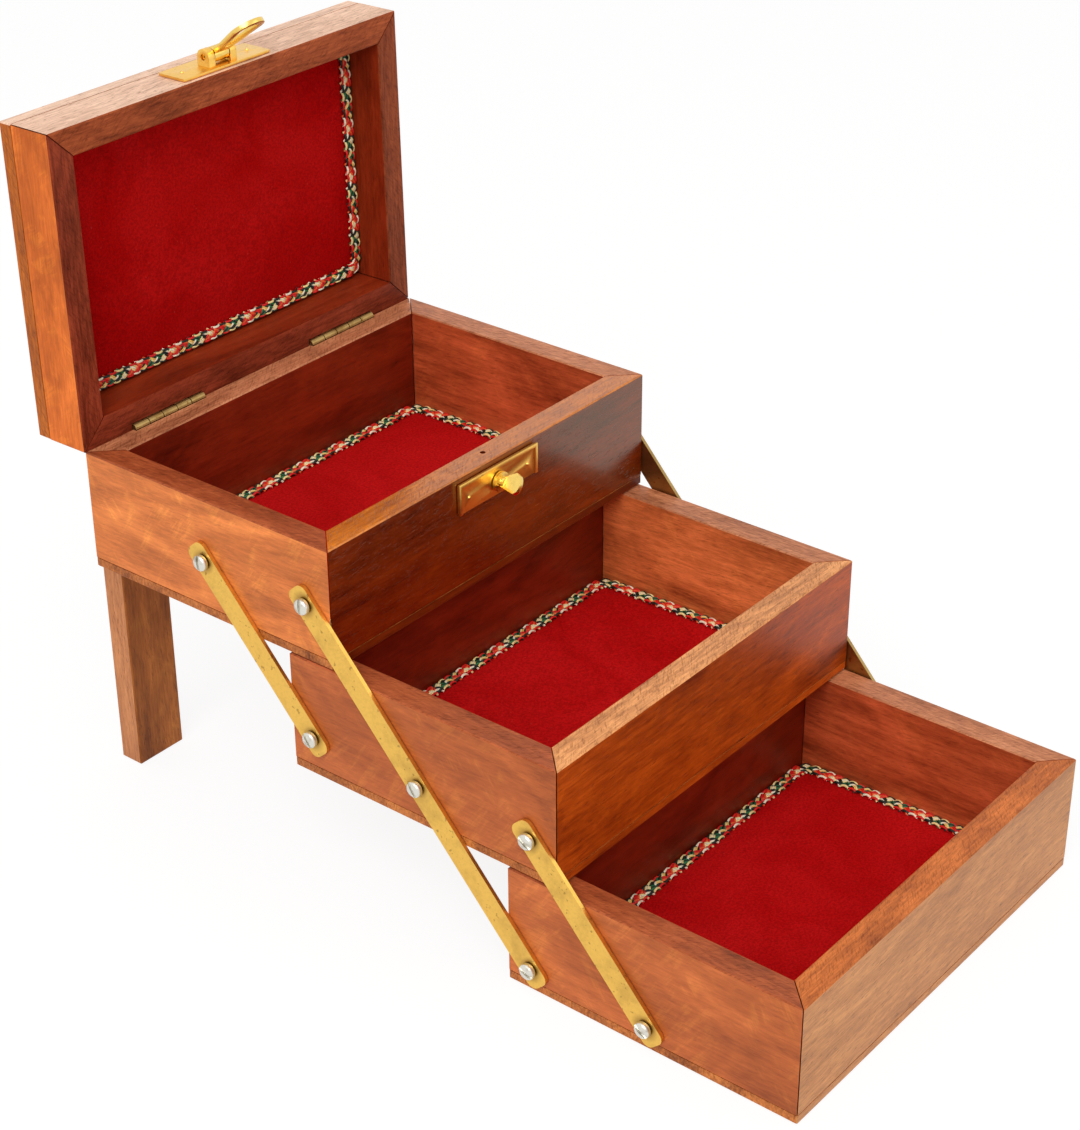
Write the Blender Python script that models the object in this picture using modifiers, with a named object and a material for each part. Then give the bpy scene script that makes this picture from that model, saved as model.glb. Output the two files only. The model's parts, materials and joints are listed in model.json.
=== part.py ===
"""A wooden jewelry box of three boxes that swing out on brass links, shown open, at its real size.

World frame: origin at the centre of the bottom box's underside, X across the box, Y from the front
to the back, Z up. The lid and the two upper boxes stand open, as they do when the box is in use.
"""

import math

import bmesh
import bpy
from mathutils import Matrix, Vector

# Boxes
box_width = 0.150
box_depth = 0.101
box_height = 0.040
wall_thickness = 0.009
base_thickness = 0.003
tier_gap = 0.0004
joint_gap = 0.0003
edge_chamfer = 0.0004

# Lid
lid_height = 0.021
lid_panel_thickness = 0.005
lid_seam_gap = 0.0004
lid_back_overhang = 0.0007
lid_open_angle = math.radians(91.0)

# Linings
pad_thickness = 0.0015
braid_width = 0.0038
braid_height = 0.0018
braid_corner_radius = 0.005

# Legs
leg_width = 0.0192
leg_thickness = 0.009
leg_side_inset = 0.0097
leg_top_drop = 0.004

# Links and their pivots
pivot_inset = 0.009
bottom_pivot_height = 0.0084
pivot_step = 0.0057
link_width = 0.008
link_thickness = 0.0012
link_overhang = 0.006
link_corner_radius = 0.0026
link_hole_clearance = 0.0003

# Link screws
screw_head_radius = 0.0029
screw_head_height = 0.0020
screw_head_chamfer = 0.0004
screw_shank_radius = 0.0014
screw_depth = 0.0060
screw_tip_length = 0.0012
screw_hole_clearance = 0.0002
screw_slot_width = 0.0009
screw_slot_depth = 0.0007

# Lid hinges
hinge_length = 0.030
hinge_end_inset = 0.020
hinge_leaf_width = 0.007
hinge_leaf_thickness = 0.0008
hinge_leaf_slant = math.radians(45.0)
hinge_knuckle_radius = 0.0014
hinge_knuckle_count = 5
hinge_pin_radius = 0.0006
hinge_pin_clearance = 0.00015

# Catch on the top box and hasp on the lid
plate_length = 0.037
plate_thickness = 0.0008
plate_corner_radius = 0.0006
plate_pin_radius = 0.0008
plate_pin_height = 0.0004
plate_pin_inset = 0.0045
catch_height = 0.0100
catch_rim_drop = 0.0021
bead_width = 0.0012
bead_height = 0.0004
bead_overhang = 0.0001
hasp_height = 0.0115
hasp_seam_rise = 0.0018

# Thumb turn
turn_collar_radius = 0.0033
turn_collar_thickness = 0.0012
turn_neck_radius = 0.0017
turn_neck_length = 0.0013
turn_head_length = 0.0056
turn_head_root = 0.0028
turn_head_width = 0.0068
turn_head_crown = 0.0018
turn_head_thickness = 0.0018
turn_head_tilt = math.radians(12.0)
turn_head_angle = math.radians(130.0)
turn_rivet_radius = 0.0009
turn_rivet_clearance = 0.0002

# Hasp loop and its ears
loop_axis_rise = 0.0064
loop_barrel_radius = 0.0025
loop_barrel_length = 0.0060
loop_pin_radius = 0.0008
loop_pin_length = 0.0014
loop_pin_clearance = 0.0002
loop_length = 0.0230
loop_width = 0.0120
loop_band = 0.0025
loop_neck_width = 0.0050
loop_hole_start = 0.0058
loop_thickness = 0.0014
loop_raised_angle = math.radians(36.0)
ear_radius = 0.0026
ear_length = 0.0026

# Hole in the top box's front rim
rim_hole_radius = 0.0009
rim_hole_depth = 0.004
rim_hole_share = 0.57

# Fineness of round shapes and of cuts
round_steps = 16
small_round_steps = 12
corner_steps = 4
cut_overrun = 0.001
smooth_angle = math.radians(40.0)

# Sizes that follow from the ones above
tier_pitch = box_height + tier_gap
pivot_spacing = box_depth / 2 - pivot_inset
pivot_rise = tier_pitch + pivot_step
link_length = math.hypot(pivot_spacing, pivot_rise)
link_angle = math.atan2(pivot_rise, pivot_spacing)
tier_travel = 2 * pivot_spacing
lid_depth = box_depth + lid_back_overhang
side_wall_inner = box_width / 2 - wall_thickness
lid_rail_height = lid_height - lid_panel_thickness - joint_gap
link_inner_x = box_width / 2 + joint_gap
link_outer_x = link_inner_x + link_thickness
screw_seat_x = link_outer_x + joint_gap
plate_face_y = -joint_gap - plate_thickness
weld_distance = joint_gap / 100


def clear_scene():
    """Remove every object that the file starts with."""
    for obj in list(bpy.data.objects):
        bpy.data.objects.remove(obj)


def new_collection(name, hidden=False):
    """Make a collection in the scene."""
    collection = bpy.data.collections.new(name)
    collection.hide_render = hidden
    bpy.context.scene.collection.children.link(collection)
    return collection


def new_material(name, colour, roughness, metallic):
    """Make a Principled material, or return the one that has this name."""
    material = bpy.data.materials.get(name)
    if material is None:
        material = bpy.data.materials.new(name)
        material.use_nodes = True
        shader = material.node_tree.nodes["Principled BSDF"]
        shader.inputs["Base Color"].default_value = (*colour, 1.0)
        shader.inputs["Roughness"].default_value = roughness
        shader.inputs["Metallic"].default_value = metallic
    return material


def wood():
    """Reddish brown varnished hardwood."""
    return new_material("varnished_wood", (0.33, 0.10, 0.045), 0.38, 0.0)


def leg_wood():
    """The plainer, paler wood of the legs."""
    return new_material("pale_wood", (0.38, 0.17, 0.09), 0.5, 0.0)


def velvet():
    """Crimson pile cloth."""
    return new_material("crimson_velvet", (0.42, 0.006, 0.012), 0.95, 0.0)


def braid_thread():
    """Cream, red and green braid, as its mean colour."""
    return new_material("braid_thread", (0.45, 0.30, 0.18), 0.7, 0.0)


def brass():
    """Polished yellow brass."""
    return new_material("brass", (0.80, 0.55, 0.18), 0.25, 1.0)


def nickel():
    """Bright plated steel."""
    return new_material("nickel", (0.70, 0.68, 0.62), 0.28, 1.0)


class Body:
    """Pieces that move together: an empty on their joint's axis, and the pieces' own zero point."""

    def __init__(self, name, axis, zero, turn=0.0, parent=None):
        self.empty = bpy.data.objects.new(name, None)
        parts.objects.link(self.empty)
        self.zero = Vector(zero) - Vector(axis)
        self.empty.location = axis
        self.empty.rotation_euler.x = turn
        if parent is not None:
            self.empty.parent = parent.empty
            self.empty.location = Vector(axis) + parent.zero

    def hold(self, obj, place, rotation=None):
        """Parent an object to the body at a place in the body's own coordinates."""
        obj.parent = self.empty
        obj.location = Vector(place) + self.zero
        if rotation is not None:
            obj.rotation_euler = rotation
        return obj


def new_object(name, mesh, material, cutter=False):
    """Put a mesh in the scene as a part, or as a cutter that isn't rendered."""
    obj = bpy.data.objects.new(name, mesh)
    if cutter:
        cutters.objects.link(obj)
        obj.hide_render = True
        obj.display_type = "WIRE"
    else:
        parts.objects.link(obj)
        obj.data.materials.append(material)
    return obj


def block_mesh(name, size, taper=0.0):
    """A block centred on its zero point. A taper draws in the ends of its +Y face, as a mitre does."""
    shape = bmesh.new()
    bmesh.ops.create_cube(shape, size=1.0)
    bmesh.ops.scale(shape, vec=size, verts=shape.verts)
    for vert in shape.verts:
        if vert.co.y > 0:
            vert.co.x -= math.copysign(taper, vert.co.x)
    mesh = bpy.data.meshes.new(name)
    shape.to_mesh(mesh)
    shape.free()
    return mesh


def rod_mesh(name, radius, length, steps, tip_radius=None):
    """A cylinder along Z, centred on its zero point."""
    shape = bmesh.new()
    bmesh.ops.create_cone(
        shape,
        cap_ends=True,
        segments=steps,
        radius1=radius,
        radius2=radius if tip_radius is None else tip_radius,
        depth=length,
    )
    mesh = bpy.data.meshes.new(name)
    shape.to_mesh(mesh)
    shape.free()
    mesh.shade_smooth()
    mesh.set_sharp_from_angle(angle=smooth_angle)
    return mesh


def chamfer(obj, levels, corners=False):
    """Take the sharp edges off a piece's top (level 1) or underside (-1), and off its upright corners.

    The slanted edges of a mitre stay sharp, because they meet the next wall.
    """
    vertices = obj.data.vertices
    weights = obj.data.attributes.new("bevel_weight_edge", "FLOAT", "EDGE")
    for edge in obj.data.edges:
        start, end = (vertices[index].co for index in edge.vertices)
        run = end - start
        upright = abs(run.z) > weld_distance
        slanted = abs(run.x) > weld_distance and abs(run.y) > weld_distance
        at_level = any(start.z * level > 0 for level in levels) and not upright and not slanted
        weights.data[edge.index].value = float(at_level or (corners and upright))
    modifier = obj.modifiers.new("edge_chamfer", "BEVEL")
    modifier.width = edge_chamfer
    modifier.segments = 1
    modifier.limit_method = "WEIGHT"
    return obj


def boolean(obj, other, operation):
    """Cut another object from this one, or join it on."""
    modifier = obj.modifiers.new(other.name, "BOOLEAN")
    modifier.operation = operation
    modifier.object = other
    modifier.solver = "EXACT"
    return obj


def outline_mesh(name, outlines, thickness):
    """A flat plate in its own XY plane, from an outer outline and the holes inside it."""
    curve = bpy.data.curves.new(name, "CURVE")
    curve.dimensions = "2D"
    curve.fill_mode = "BOTH"
    curve.extrude = thickness / 2
    for points in outlines:
        spline = curve.splines.new("POLY")
        spline.points.add(len(points) - 1)
        for point, (x, y) in zip(spline.points, points):
            point.co = (x, y, 0, 1)
        spline.use_cyclic_u = True
    guide = bpy.data.objects.new(name + "_outline", curve)
    cutters.objects.link(guide)
    graph = bpy.context.evaluated_depsgraph_get()
    mesh = bpy.data.meshes.new_from_object(guide.evaluated_get(graph))
    mesh.name = name
    mesh.materials.clear()
    bpy.data.objects.remove(guide)
    shape = bmesh.new()
    shape.from_mesh(mesh)
    bmesh.ops.remove_doubles(shape, verts=shape.verts, dist=weld_distance)
    bmesh.ops.recalc_face_normals(shape, faces=shape.faces)
    shape.to_mesh(mesh)
    shape.free()
    return mesh


def circle(centre_x, centre_y, radius, steps):
    """Points of a circle."""
    angles = [math.tau * step / steps for step in range(steps)]
    return [(centre_x + radius * math.cos(a), centre_y + radius * math.sin(a)) for a in angles]


def rounded_rectangle(low_x, low_y, high_x, high_y, radius):
    """Points of a rectangle with round corners."""
    corners = (
        (high_x - radius, high_y - radius, 0),
        (low_x + radius, high_y - radius, math.pi / 2),
        (low_x + radius, low_y + radius, math.pi),
        (high_x - radius, low_y + radius, 3 * math.pi / 2),
    )
    points = []
    for centre_x, centre_y, start in corners:
        for step in range(corner_steps + 1):
            angle = start + math.pi / 2 * step / corner_steps
            points.append((centre_x + radius * math.cos(angle), centre_y + radius * math.sin(angle)))
    return points


def add_frame(body, name, low_z, height, depth, rim):
    """Four mitred walls round a box or a lid, with their rim at the top (1) or underside (-1).

    The lid's back rail keeps its sharp edge, which closes the seam behind the open lid.
    """
    pull = joint_gap / math.sqrt(2)
    middle_z = low_z + height / 2
    sides = {
        "front": (box_width, (0, wall_thickness / 2), 0),
        "back": (box_width, (0, depth - wall_thickness / 2), math.pi),
        "left": (depth, (wall_thickness / 2 - box_width / 2, depth / 2), -math.pi / 2),
        "right": (depth, (box_width / 2 - wall_thickness / 2, depth / 2), math.pi / 2),
    }
    walls = {}
    for side, (length, (x, y), turn) in sides.items():
        size = (length - 2 * pull, wall_thickness, height)
        wall = new_object(f"{name}_{side}", block_mesh(f"{name}_{side}", size, wall_thickness), wood())
        body.hold(wall, (x, y, middle_z), (0, 0, turn))
        meets_box = side == "back" and rim < 0
        walls[side] = wall if meets_box else chamfer(wall, (rim,))
    return walls


def add_lining(body, name, low_z, up=1):
    """The velvet pad on a panel and the braid round its edge. up is -1 where they hang under the lid."""
    inner_x = side_wall_inner - joint_gap
    low_y = wall_thickness + joint_gap
    high_y = box_depth - low_y
    pad_size = (2 * inner_x, high_y - low_y, pad_thickness)
    pad_z = low_z + up * (joint_gap + pad_thickness / 2)
    pad = new_object(f"{name}_velvet_pad", block_mesh(f"{name}_velvet_pad", pad_size), velvet())
    body.hold(pad, (0, box_depth / 2, pad_z))
    outer = rounded_rectangle(-inner_x, low_y, inner_x, high_y, braid_corner_radius)
    inner = rounded_rectangle(
        braid_width - inner_x,
        low_y + braid_width,
        inner_x - braid_width,
        high_y - braid_width,
        braid_corner_radius - braid_width,
    )
    braid_z = pad_z + up * (pad_thickness / 2 + joint_gap + braid_height / 2)
    braid_mesh = outline_mesh(f"{name}_braid", (outer, inner), braid_height)
    braid = new_object(f"{name}_braid", braid_mesh, braid_thread())
    body.hold(braid, (0, 0, braid_z))


def add_box(body, name):
    """A box's base, walls and lining. Zero is the middle of its front bottom edge."""
    base_size = (box_width, box_depth, base_thickness)
    base = new_object(f"{name}_base", block_mesh(f"{name}_base", base_size), wood())
    body.hold(base, (0, box_depth / 2, base_thickness / 2))
    chamfer(base, (-1,), corners=True)
    wall_low = base_thickness + joint_gap
    walls = add_frame(body, name, wall_low, box_height - wall_low, box_depth, 1)
    add_lining(body, name, base_thickness)
    return walls


def screw_mesh(name):
    """A pan-head screw along Z, with the underside of its head at its zero point."""
    head = screw_head_height
    into_wood = screw_depth + screw_seat_x - box_width / 2
    profile = (
        (0, head),
        (screw_head_radius - screw_head_chamfer, head),
        (screw_head_radius, head - screw_head_chamfer),
        (screw_head_radius, 0),
        (screw_shank_radius, 0),
        (screw_shank_radius, screw_tip_length - into_wood),
        (0, -into_wood),
    )
    mesh = bpy.data.meshes.new(name)
    points = [(radius, 0, z) for radius, z in profile]
    edges = [(index, index + 1) for index in range(len(points) - 1)]
    mesh.from_pydata(points, edges, [])
    return mesh


def add_screw(body, name, walls, side, y, z):
    """A slotted screw through a link into a side wall, with its hole in the wall."""
    sign = -1 if side == "left" else 1
    out_x = (0, sign * math.pi / 2, 0)
    screw = new_object(name, screw_mesh(name), nickel())
    body.hold(screw, (sign * screw_seat_x, y, z), out_x)
    turned = screw.modifiers.new("turned", "SCREW")
    turned.axis = "Z"
    turned.steps = round_steps
    turned.render_steps = round_steps
    turned.use_merge_vertices = True
    turned.merge_threshold = weld_distance
    turned.use_smooth_shade = True
    slot_size = (screw_slot_width, 3 * screw_head_radius, 2 * screw_slot_depth)
    slot = new_object(f"{name}_slot", block_mesh(f"{name}_slot", slot_size), None, cutter=True)
    body.hold(slot, (sign * (screw_seat_x + screw_head_height), y, z), out_x)
    boolean(screw, slot, "DIFFERENCE")
    depth = screw_depth + joint_gap + cut_overrun
    hole_radius = screw_shank_radius + screw_hole_clearance
    hole = new_object(f"{name}_hole", rod_mesh(name, hole_radius, depth, round_steps), None, cutter=True)
    body.hold(hole, (sign * (box_width / 2 + cut_overrun - depth / 2), y, z), out_x)
    boolean(walls[side], hole, "DIFFERENCE")


def add_screws(body, name, walls, pivot_height, places):
    """The screws of a box, on both sides, one at each named place along its depth."""
    for side in ("left", "right"):
        for place, y in places.items():
            add_screw(body, f"{name}_{place}_screw_{side}", walls, side, y, pivot_height)


def add_link(body, name, side, spans):
    """A flat brass link that leans back from its lower pivot, with a hole at each pivot."""
    sign = -1 if side == "left" else 1
    length = spans * link_length
    half = link_width / 2
    outline = rounded_rectangle(-link_overhang, -half, length + link_overhang, half, link_corner_radius)
    hole_radius = screw_shank_radius + link_hole_clearance
    holes = [circle(span * link_length, 0, hole_radius, round_steps) for span in range(spans + 1)]
    link_mesh = outline_mesh(f"{name}_{side}", [outline, *holes], link_thickness)
    link = new_object(f"{name}_{side}", link_mesh, brass())
    body.hold(link, (sign * (link_inner_x + link_thickness / 2), 0, 0))
    link.rotation_euler = (
        Matrix.Rotation(math.pi / 2, 3, "Z")
        @ Matrix.Rotation(math.pi / 2, 3, "X")
        @ Matrix.Rotation(link_angle, 3, "Z")
    ).to_euler()
    return link


def add_legs(body):
    """Two legs on the outside of the top box's back wall, down to the floor."""
    foot_z = -2 * tier_pitch
    top_z = box_height - leg_top_drop
    size = (leg_width, leg_thickness, top_z - foot_z)
    x = box_width / 2 - leg_side_inset - leg_width / 2
    y = box_depth + joint_gap + leg_thickness / 2
    for side, sign in (("left", -1), ("right", 1)):
        leg = new_object(f"leg_{side}", block_mesh(f"leg_{side}", size), leg_wood())
        body.hold(leg, (sign * x, y, (top_z + foot_z) / 2))
        chamfer(leg, (-1, 1), corners=True)


def knuckle_place(index):
    """The middle of a hinge knuckle along the hinge, and its length."""
    length = (hinge_length - (hinge_knuckle_count - 1) * joint_gap) / hinge_knuckle_count
    start = -hinge_length / 2 + index * (length + joint_gap)
    return start + length / 2, length


def leaf_place(x, axis_y, axis_z, up, distance):
    """A point on a hinge leaf, that far from the hinge's axis. up is 1 for the lid's leaf."""
    away_y = distance * math.cos(hinge_leaf_slant)
    away_z = distance * math.sin(hinge_leaf_slant)
    return (x, axis_y - away_y, axis_z + up * away_z)


def add_hinge_leaf(body, name, x, axis_y, axis_z, up, first):
    """A hinge leaf that slants into its wall, with every second knuckle."""
    along_x = (0, math.pi / 2, 0)
    slant = (-up * hinge_leaf_slant, 0, 0)
    plate_edge = hinge_knuckle_radius + joint_gap
    plate_size = (hinge_length, hinge_leaf_width - plate_edge, hinge_leaf_thickness)
    leaf = new_object(name, block_mesh(name, plate_size), brass())
    plate_middle = (hinge_leaf_width + plate_edge) / 2
    body.hold(leaf, leaf_place(x, axis_y, axis_z, up, plate_middle), slant)
    for index in range(first, hinge_knuckle_count, 2):
        offset, length = knuckle_place(index)
        tab_size = (length, 2 * plate_edge, hinge_leaf_thickness)
        tab = new_object(f"{name}_tab_{index}", block_mesh(name, tab_size), None, cutter=True)
        body.hold(tab, leaf_place(x + offset, axis_y, axis_z, up, plate_edge), slant)
        boolean(leaf, tab, "UNION")
        rod = rod_mesh(name, hinge_knuckle_radius, length, round_steps)
        knuckle = new_object(f"{name}_knuckle_{index}", rod, None, cutter=True)
        body.hold(knuckle, (x + offset, axis_y, axis_z), along_x)
        boolean(leaf, knuckle, "UNION")
    bore_radius = hinge_pin_radius + hinge_pin_clearance
    bore_length = hinge_length + 2 * cut_overrun
    bore_mesh = rod_mesh(name, bore_radius, bore_length, small_round_steps)
    bore = new_object(f"{name}_bore", bore_mesh, None, cutter=True)
    body.hold(bore, (x, axis_y, axis_z), along_x)
    boolean(leaf, bore, "DIFFERENCE")
    return leaf


def cut_hinge_seat(body, name, wall, x, axis_y, axis_z, up):
    """The saw slot for a hinge leaf and the groove for its knuckles, in a wall's back seam edge."""
    slot_length = hinge_length + 2 * joint_gap
    slot_depth = hinge_leaf_width + joint_gap
    slot_size = (slot_length, slot_depth, hinge_leaf_thickness + 2 * joint_gap)
    slot = new_object(f"{name}_slot", block_mesh(name, slot_size), None, cutter=True)
    slant = (-up * hinge_leaf_slant, 0, 0)
    body.hold(slot, leaf_place(x, axis_y, axis_z, up, slot_depth / 2), slant)
    boolean(wall, slot, "DIFFERENCE")
    groove_radius = hinge_knuckle_radius + joint_gap
    groove_mesh = rod_mesh(name, groove_radius, slot_length, round_steps)
    groove = new_object(f"{name}_groove", groove_mesh, None, cutter=True)
    body.hold(groove, (x, axis_y, axis_z), (0, math.pi / 2, 0))
    boolean(wall, groove, "DIFFERENCE")


def add_hinges(box_body, box_back, lid_body, lid_back):
    """Two slot hinges in the back seam: leaf and pin on the box, leaf on the lid."""
    x = box_width / 2 - hinge_end_inset - hinge_length / 2
    box_axis_z = box_height + lid_seam_gap / 2
    lid_axis_z = -lid_seam_gap / 2
    for side, sign in (("left", -1), ("right", 1)):
        name = f"box_hinge_leaf_{side}"
        add_hinge_leaf(box_body, name, sign * x, box_depth, box_axis_z, -1, 0)
        cut_hinge_seat(box_body, name, box_back, sign * x, box_depth, box_axis_z, -1)
        name = f"lid_hinge_leaf_{side}"
        add_hinge_leaf(lid_body, name, sign * x, box_depth, lid_axis_z, 1, 1)
        cut_hinge_seat(lid_body, name, lid_back, sign * x, box_depth, lid_axis_z, 1)
        pin_mesh = rod_mesh(f"hinge_pin_{side}", hinge_pin_radius, hinge_length, small_round_steps)
        pin = new_object(f"hinge_pin_{side}", pin_mesh, brass())
        box_body.hold(pin, (sign * x, box_depth, box_axis_z), (0, math.pi / 2, 0))


def u_outline(half_length, half_height, width):
    """Points of a bead that runs up one end of a plate, along its top and down the other end."""
    low, high = -half_height, half_height
    inner = half_length - width
    outer = [(half_length, low), (half_length, high), (-half_length, high), (-half_length, low)]
    return [*outer, (-inner, low), (-inner, high - width), (inner, high - width), (inner, low)]


def add_plate(body, name, height, middle_z, pin_z):
    """A brass plate on a front face, with the heads of the two pins that hold it."""
    half_length = plate_length / 2
    outline = rounded_rectangle(
        -half_length, -height / 2, half_length, height / 2, plate_corner_radius
    )
    plate = new_object(name, outline_mesh(name, [outline], plate_thickness), brass())
    plate_y = plate_face_y + plate_thickness / 2
    body.hold(plate, (0, plate_y, middle_z), (math.pi / 2, 0, 0))
    head_length = plate_thickness / 2 + plate_pin_height
    head_y = plate_y - head_length / 2
    for sign in (-1, 1):
        head_mesh = rod_mesh(
            name, plate_pin_radius, head_length, small_round_steps, plate_pin_radius / 2
        )
        head = new_object(f"{name}_pin_{sign}", head_mesh, None, cutter=True)
        x = sign * (half_length - plate_pin_inset)
        body.hold(head, (x, head_y, pin_z), (math.pi / 2, 0, 0))
        boolean(plate, head, "UNION")
    return plate


def add_catch(body, front_wall):
    """The catch plate with its raised bead, and the hole in the rim above it."""
    middle_z = box_height - catch_rim_drop - catch_height / 2
    face_z = middle_z - bead_width / 2
    plate = add_plate(body, "catch_plate", catch_height, middle_z, face_z)
    plate_y = plate_face_y + plate_thickness / 2
    depth = plate_thickness / 2 + bead_height
    bead_outline = u_outline(
        plate_length / 2 + bead_overhang,
        catch_height / 2 + bead_overhang,
        bead_width + bead_overhang,
    )
    bead_mesh = outline_mesh("catch_bead", [bead_outline], depth)
    bead = new_object("catch_bead", bead_mesh, None, cutter=True)
    body.hold(bead, (0, plate_y - depth / 2, middle_z), (math.pi / 2, 0, 0))
    boolean(plate, bead, "UNION")
    bore_length = plate_thickness + 2 * cut_overrun
    bore_mesh = rod_mesh(
        "catch_bore", turn_rivet_radius + turn_rivet_clearance, bore_length, small_round_steps
    )
    bore = new_object("catch_bore", bore_mesh, None, cutter=True)
    body.hold(bore, (0, plate_y, face_z), (math.pi / 2, 0, 0))
    boolean(plate, bore, "DIFFERENCE")
    hole_length = rim_hole_depth + cut_overrun
    hole_mesh = rod_mesh("rim_hole", rim_hole_radius, hole_length, small_round_steps)
    hole = new_object("rim_hole", hole_mesh, None, cutter=True)
    hole_z = box_height + cut_overrun - hole_length / 2
    body.hold(hole, (0, rim_hole_share * wall_thickness, hole_z))
    boolean(front_wall, hole, "DIFFERENCE")
    return face_z


def add_thumb_turn(body):
    """The turning piece of the catch, along -Y: a rivet, a collar, a neck and a flat fan-shaped head."""
    along_y = (math.pi / 2, 0, 0)
    collar_y = plate_face_y - joint_gap
    neck_end_y = collar_y - turn_collar_thickness - turn_neck_length
    collar_mesh = rod_mesh("thumb_turn", turn_collar_radius, turn_collar_thickness, round_steps)
    turn = new_object("thumb_turn", collar_mesh, brass())
    body.hold(turn, (0, collar_y - turn_collar_thickness / 2, 0), along_y)
    rivet_end_y = collar_y - turn_collar_thickness / 2
    rivet_length = -joint_gap - rivet_end_y
    rivet_mesh = rod_mesh("turn_rivet", turn_rivet_radius, rivet_length, small_round_steps)
    rivet = new_object("turn_rivet", rivet_mesh, None, cutter=True)
    body.hold(rivet, (0, rivet_end_y + rivet_length / 2, 0), along_y)
    boolean(turn, rivet, "UNION")
    neck_length = rivet_end_y - neck_end_y
    neck_mesh = rod_mesh("turn_neck", turn_neck_radius, neck_length, round_steps)
    neck = new_object("turn_neck", neck_mesh, None, cutter=True)
    body.hold(neck, (0, neck_end_y + neck_length / 2, 0), along_y)
    boolean(turn, neck, "UNION")
    half_root = turn_head_root / 2
    half_head = turn_head_width / 2
    edge_y = turn_head_crown - turn_head_length
    outline = [(half_root, turn_neck_length), (-half_root, turn_neck_length), (-half_head, edge_y)]
    for step in range(1, round_steps // 2):
        across = 4 * step / round_steps - 1
        outline.append((across * half_head, edge_y - turn_head_crown * math.sqrt(1 - across**2)))
    outline.append((half_head, edge_y))
    head_mesh = outline_mesh("turn_head", [outline], turn_head_thickness)
    head_mesh.transform(Matrix.Rotation(-turn_head_tilt, 4, "Z"))
    head = new_object("turn_head", head_mesh, None, cutter=True)
    body.hold(head, (0, neck_end_y, 0), (0, turn_head_angle, 0))
    boolean(turn, head, "UNION")


def add_hasp_plate(body):
    """The plate on the lid's front face, with two bored ears at its lower edge for the loop's pin."""
    middle_z = hasp_seam_rise + hasp_height / 2
    plate = add_plate(body, "hasp_plate", hasp_height, middle_z, middle_z)
    axis_y = plate_face_y - joint_gap - loop_barrel_radius
    ear_x = loop_barrel_length / 2 + joint_gap + ear_length / 2
    foot_depth = plate_face_y + plate_thickness / 2 - axis_y
    for sign in (-1, 1):
        foot_size = (ear_length, foot_depth, 2 * ear_radius)
        foot = new_object(f"ear_foot_{sign}", block_mesh("ear_foot", foot_size), None, cutter=True)
        body.hold(foot, (sign * ear_x, axis_y + foot_depth / 2, loop_axis_rise))
        boolean(plate, foot, "UNION")
        eye_mesh = rod_mesh("ear_eye", ear_radius, ear_length, round_steps)
        eye = new_object(f"ear_eye_{sign}", eye_mesh, None, cutter=True)
        body.hold(eye, (sign * ear_x, axis_y, loop_axis_rise), (0, math.pi / 2, 0))
        boolean(plate, eye, "UNION")
    bore_length = 2 * (ear_x + ear_length)
    bore_mesh = rod_mesh(
        "ear_bore", loop_pin_radius + loop_pin_clearance, bore_length, small_round_steps
    )
    bore = new_object("ear_bore", bore_mesh, None, cutter=True)
    body.hold(bore, (0, axis_y, loop_axis_rise), (0, math.pi / 2, 0))
    boolean(plate, bore, "DIFFERENCE")
    return Vector((0, axis_y, loop_axis_rise))


def teardrop(half_width, tip, far_end, neck):
    """Points of a teardrop along -Y: a round far end that narrows to a neck at the tip."""
    centre_y = -(far_end - half_width)
    points = []
    for step in range(round_steps + 1):
        angle = math.pi + math.pi * step / round_steps
        points.append((half_width * math.cos(angle), centre_y + half_width * math.sin(angle)))
    points.append((neck, -tip))
    points.append((-neck, -tip))
    return points


def add_loop(body):
    """The hasp's loop: a flat teardrop ring on a barrel, with a pin stub at each end."""
    half_neck = loop_neck_width / 2
    half_width = loop_width / 2
    outer = teardrop(half_width, 0, loop_length, half_neck)
    inner_neck = half_neck - loop_band / 2
    inner = teardrop(half_width - loop_band, loop_hole_start, loop_length - loop_band, inner_neck)
    ring = new_object("hasp_loop", outline_mesh("hasp_loop", [outer, inner], loop_thickness), brass())
    body.hold(ring, (0, 0, 0))
    barrel_mesh = rod_mesh("loop_barrel", loop_barrel_radius, loop_barrel_length, round_steps)
    barrel = new_object("loop_barrel", barrel_mesh, None, cutter=True)
    body.hold(barrel, (0, 0, 0), (0, math.pi / 2, 0))
    boolean(ring, barrel, "UNION")
    pin_length = loop_barrel_length + 2 * loop_pin_length
    pin_mesh = rod_mesh("loop_pin", loop_pin_radius, pin_length, small_round_steps)
    pin = new_object("loop_pin", pin_mesh, None, cutter=True)
    body.hold(pin, (0, 0, 0), (0, math.pi / 2, 0))
    boolean(ring, pin, "UNION")


def add_lid(body):
    """The lid's rails, panel and lining, as they lie when it is shut. Zero is its front seam edge."""
    rails = add_frame(body, "lid", 0, lid_rail_height, lid_depth, -1)
    panel_size = (box_width, lid_depth, lid_panel_thickness)
    panel = new_object("lid_panel", block_mesh("lid_panel", panel_size), wood())
    body.hold(panel, (0, lid_depth / 2, lid_height - lid_panel_thickness / 2))
    chamfer(panel, (1,), corners=True)
    add_lining(body, "lid", lid_height - lid_panel_thickness, -1)
    return rails


clear_scene()
parts = new_collection("jewelry_box")
cutters = new_collection("cutters", hidden=True)

bottom_front_y = -box_depth / 2
bottom_zero = Vector((0, bottom_front_y, 0))
middle_zero = bottom_zero + Vector((0, tier_travel, tier_pitch))
top_zero = middle_zero + Vector((0, tier_travel, tier_pitch))
front_pivot_y = pivot_inset
middle_pivot_y = box_depth / 2
back_pivot_y = box_depth - pivot_inset
middle_pivot_height = bottom_pivot_height + pivot_step
top_pivot_height = middle_pivot_height + pivot_step

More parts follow.
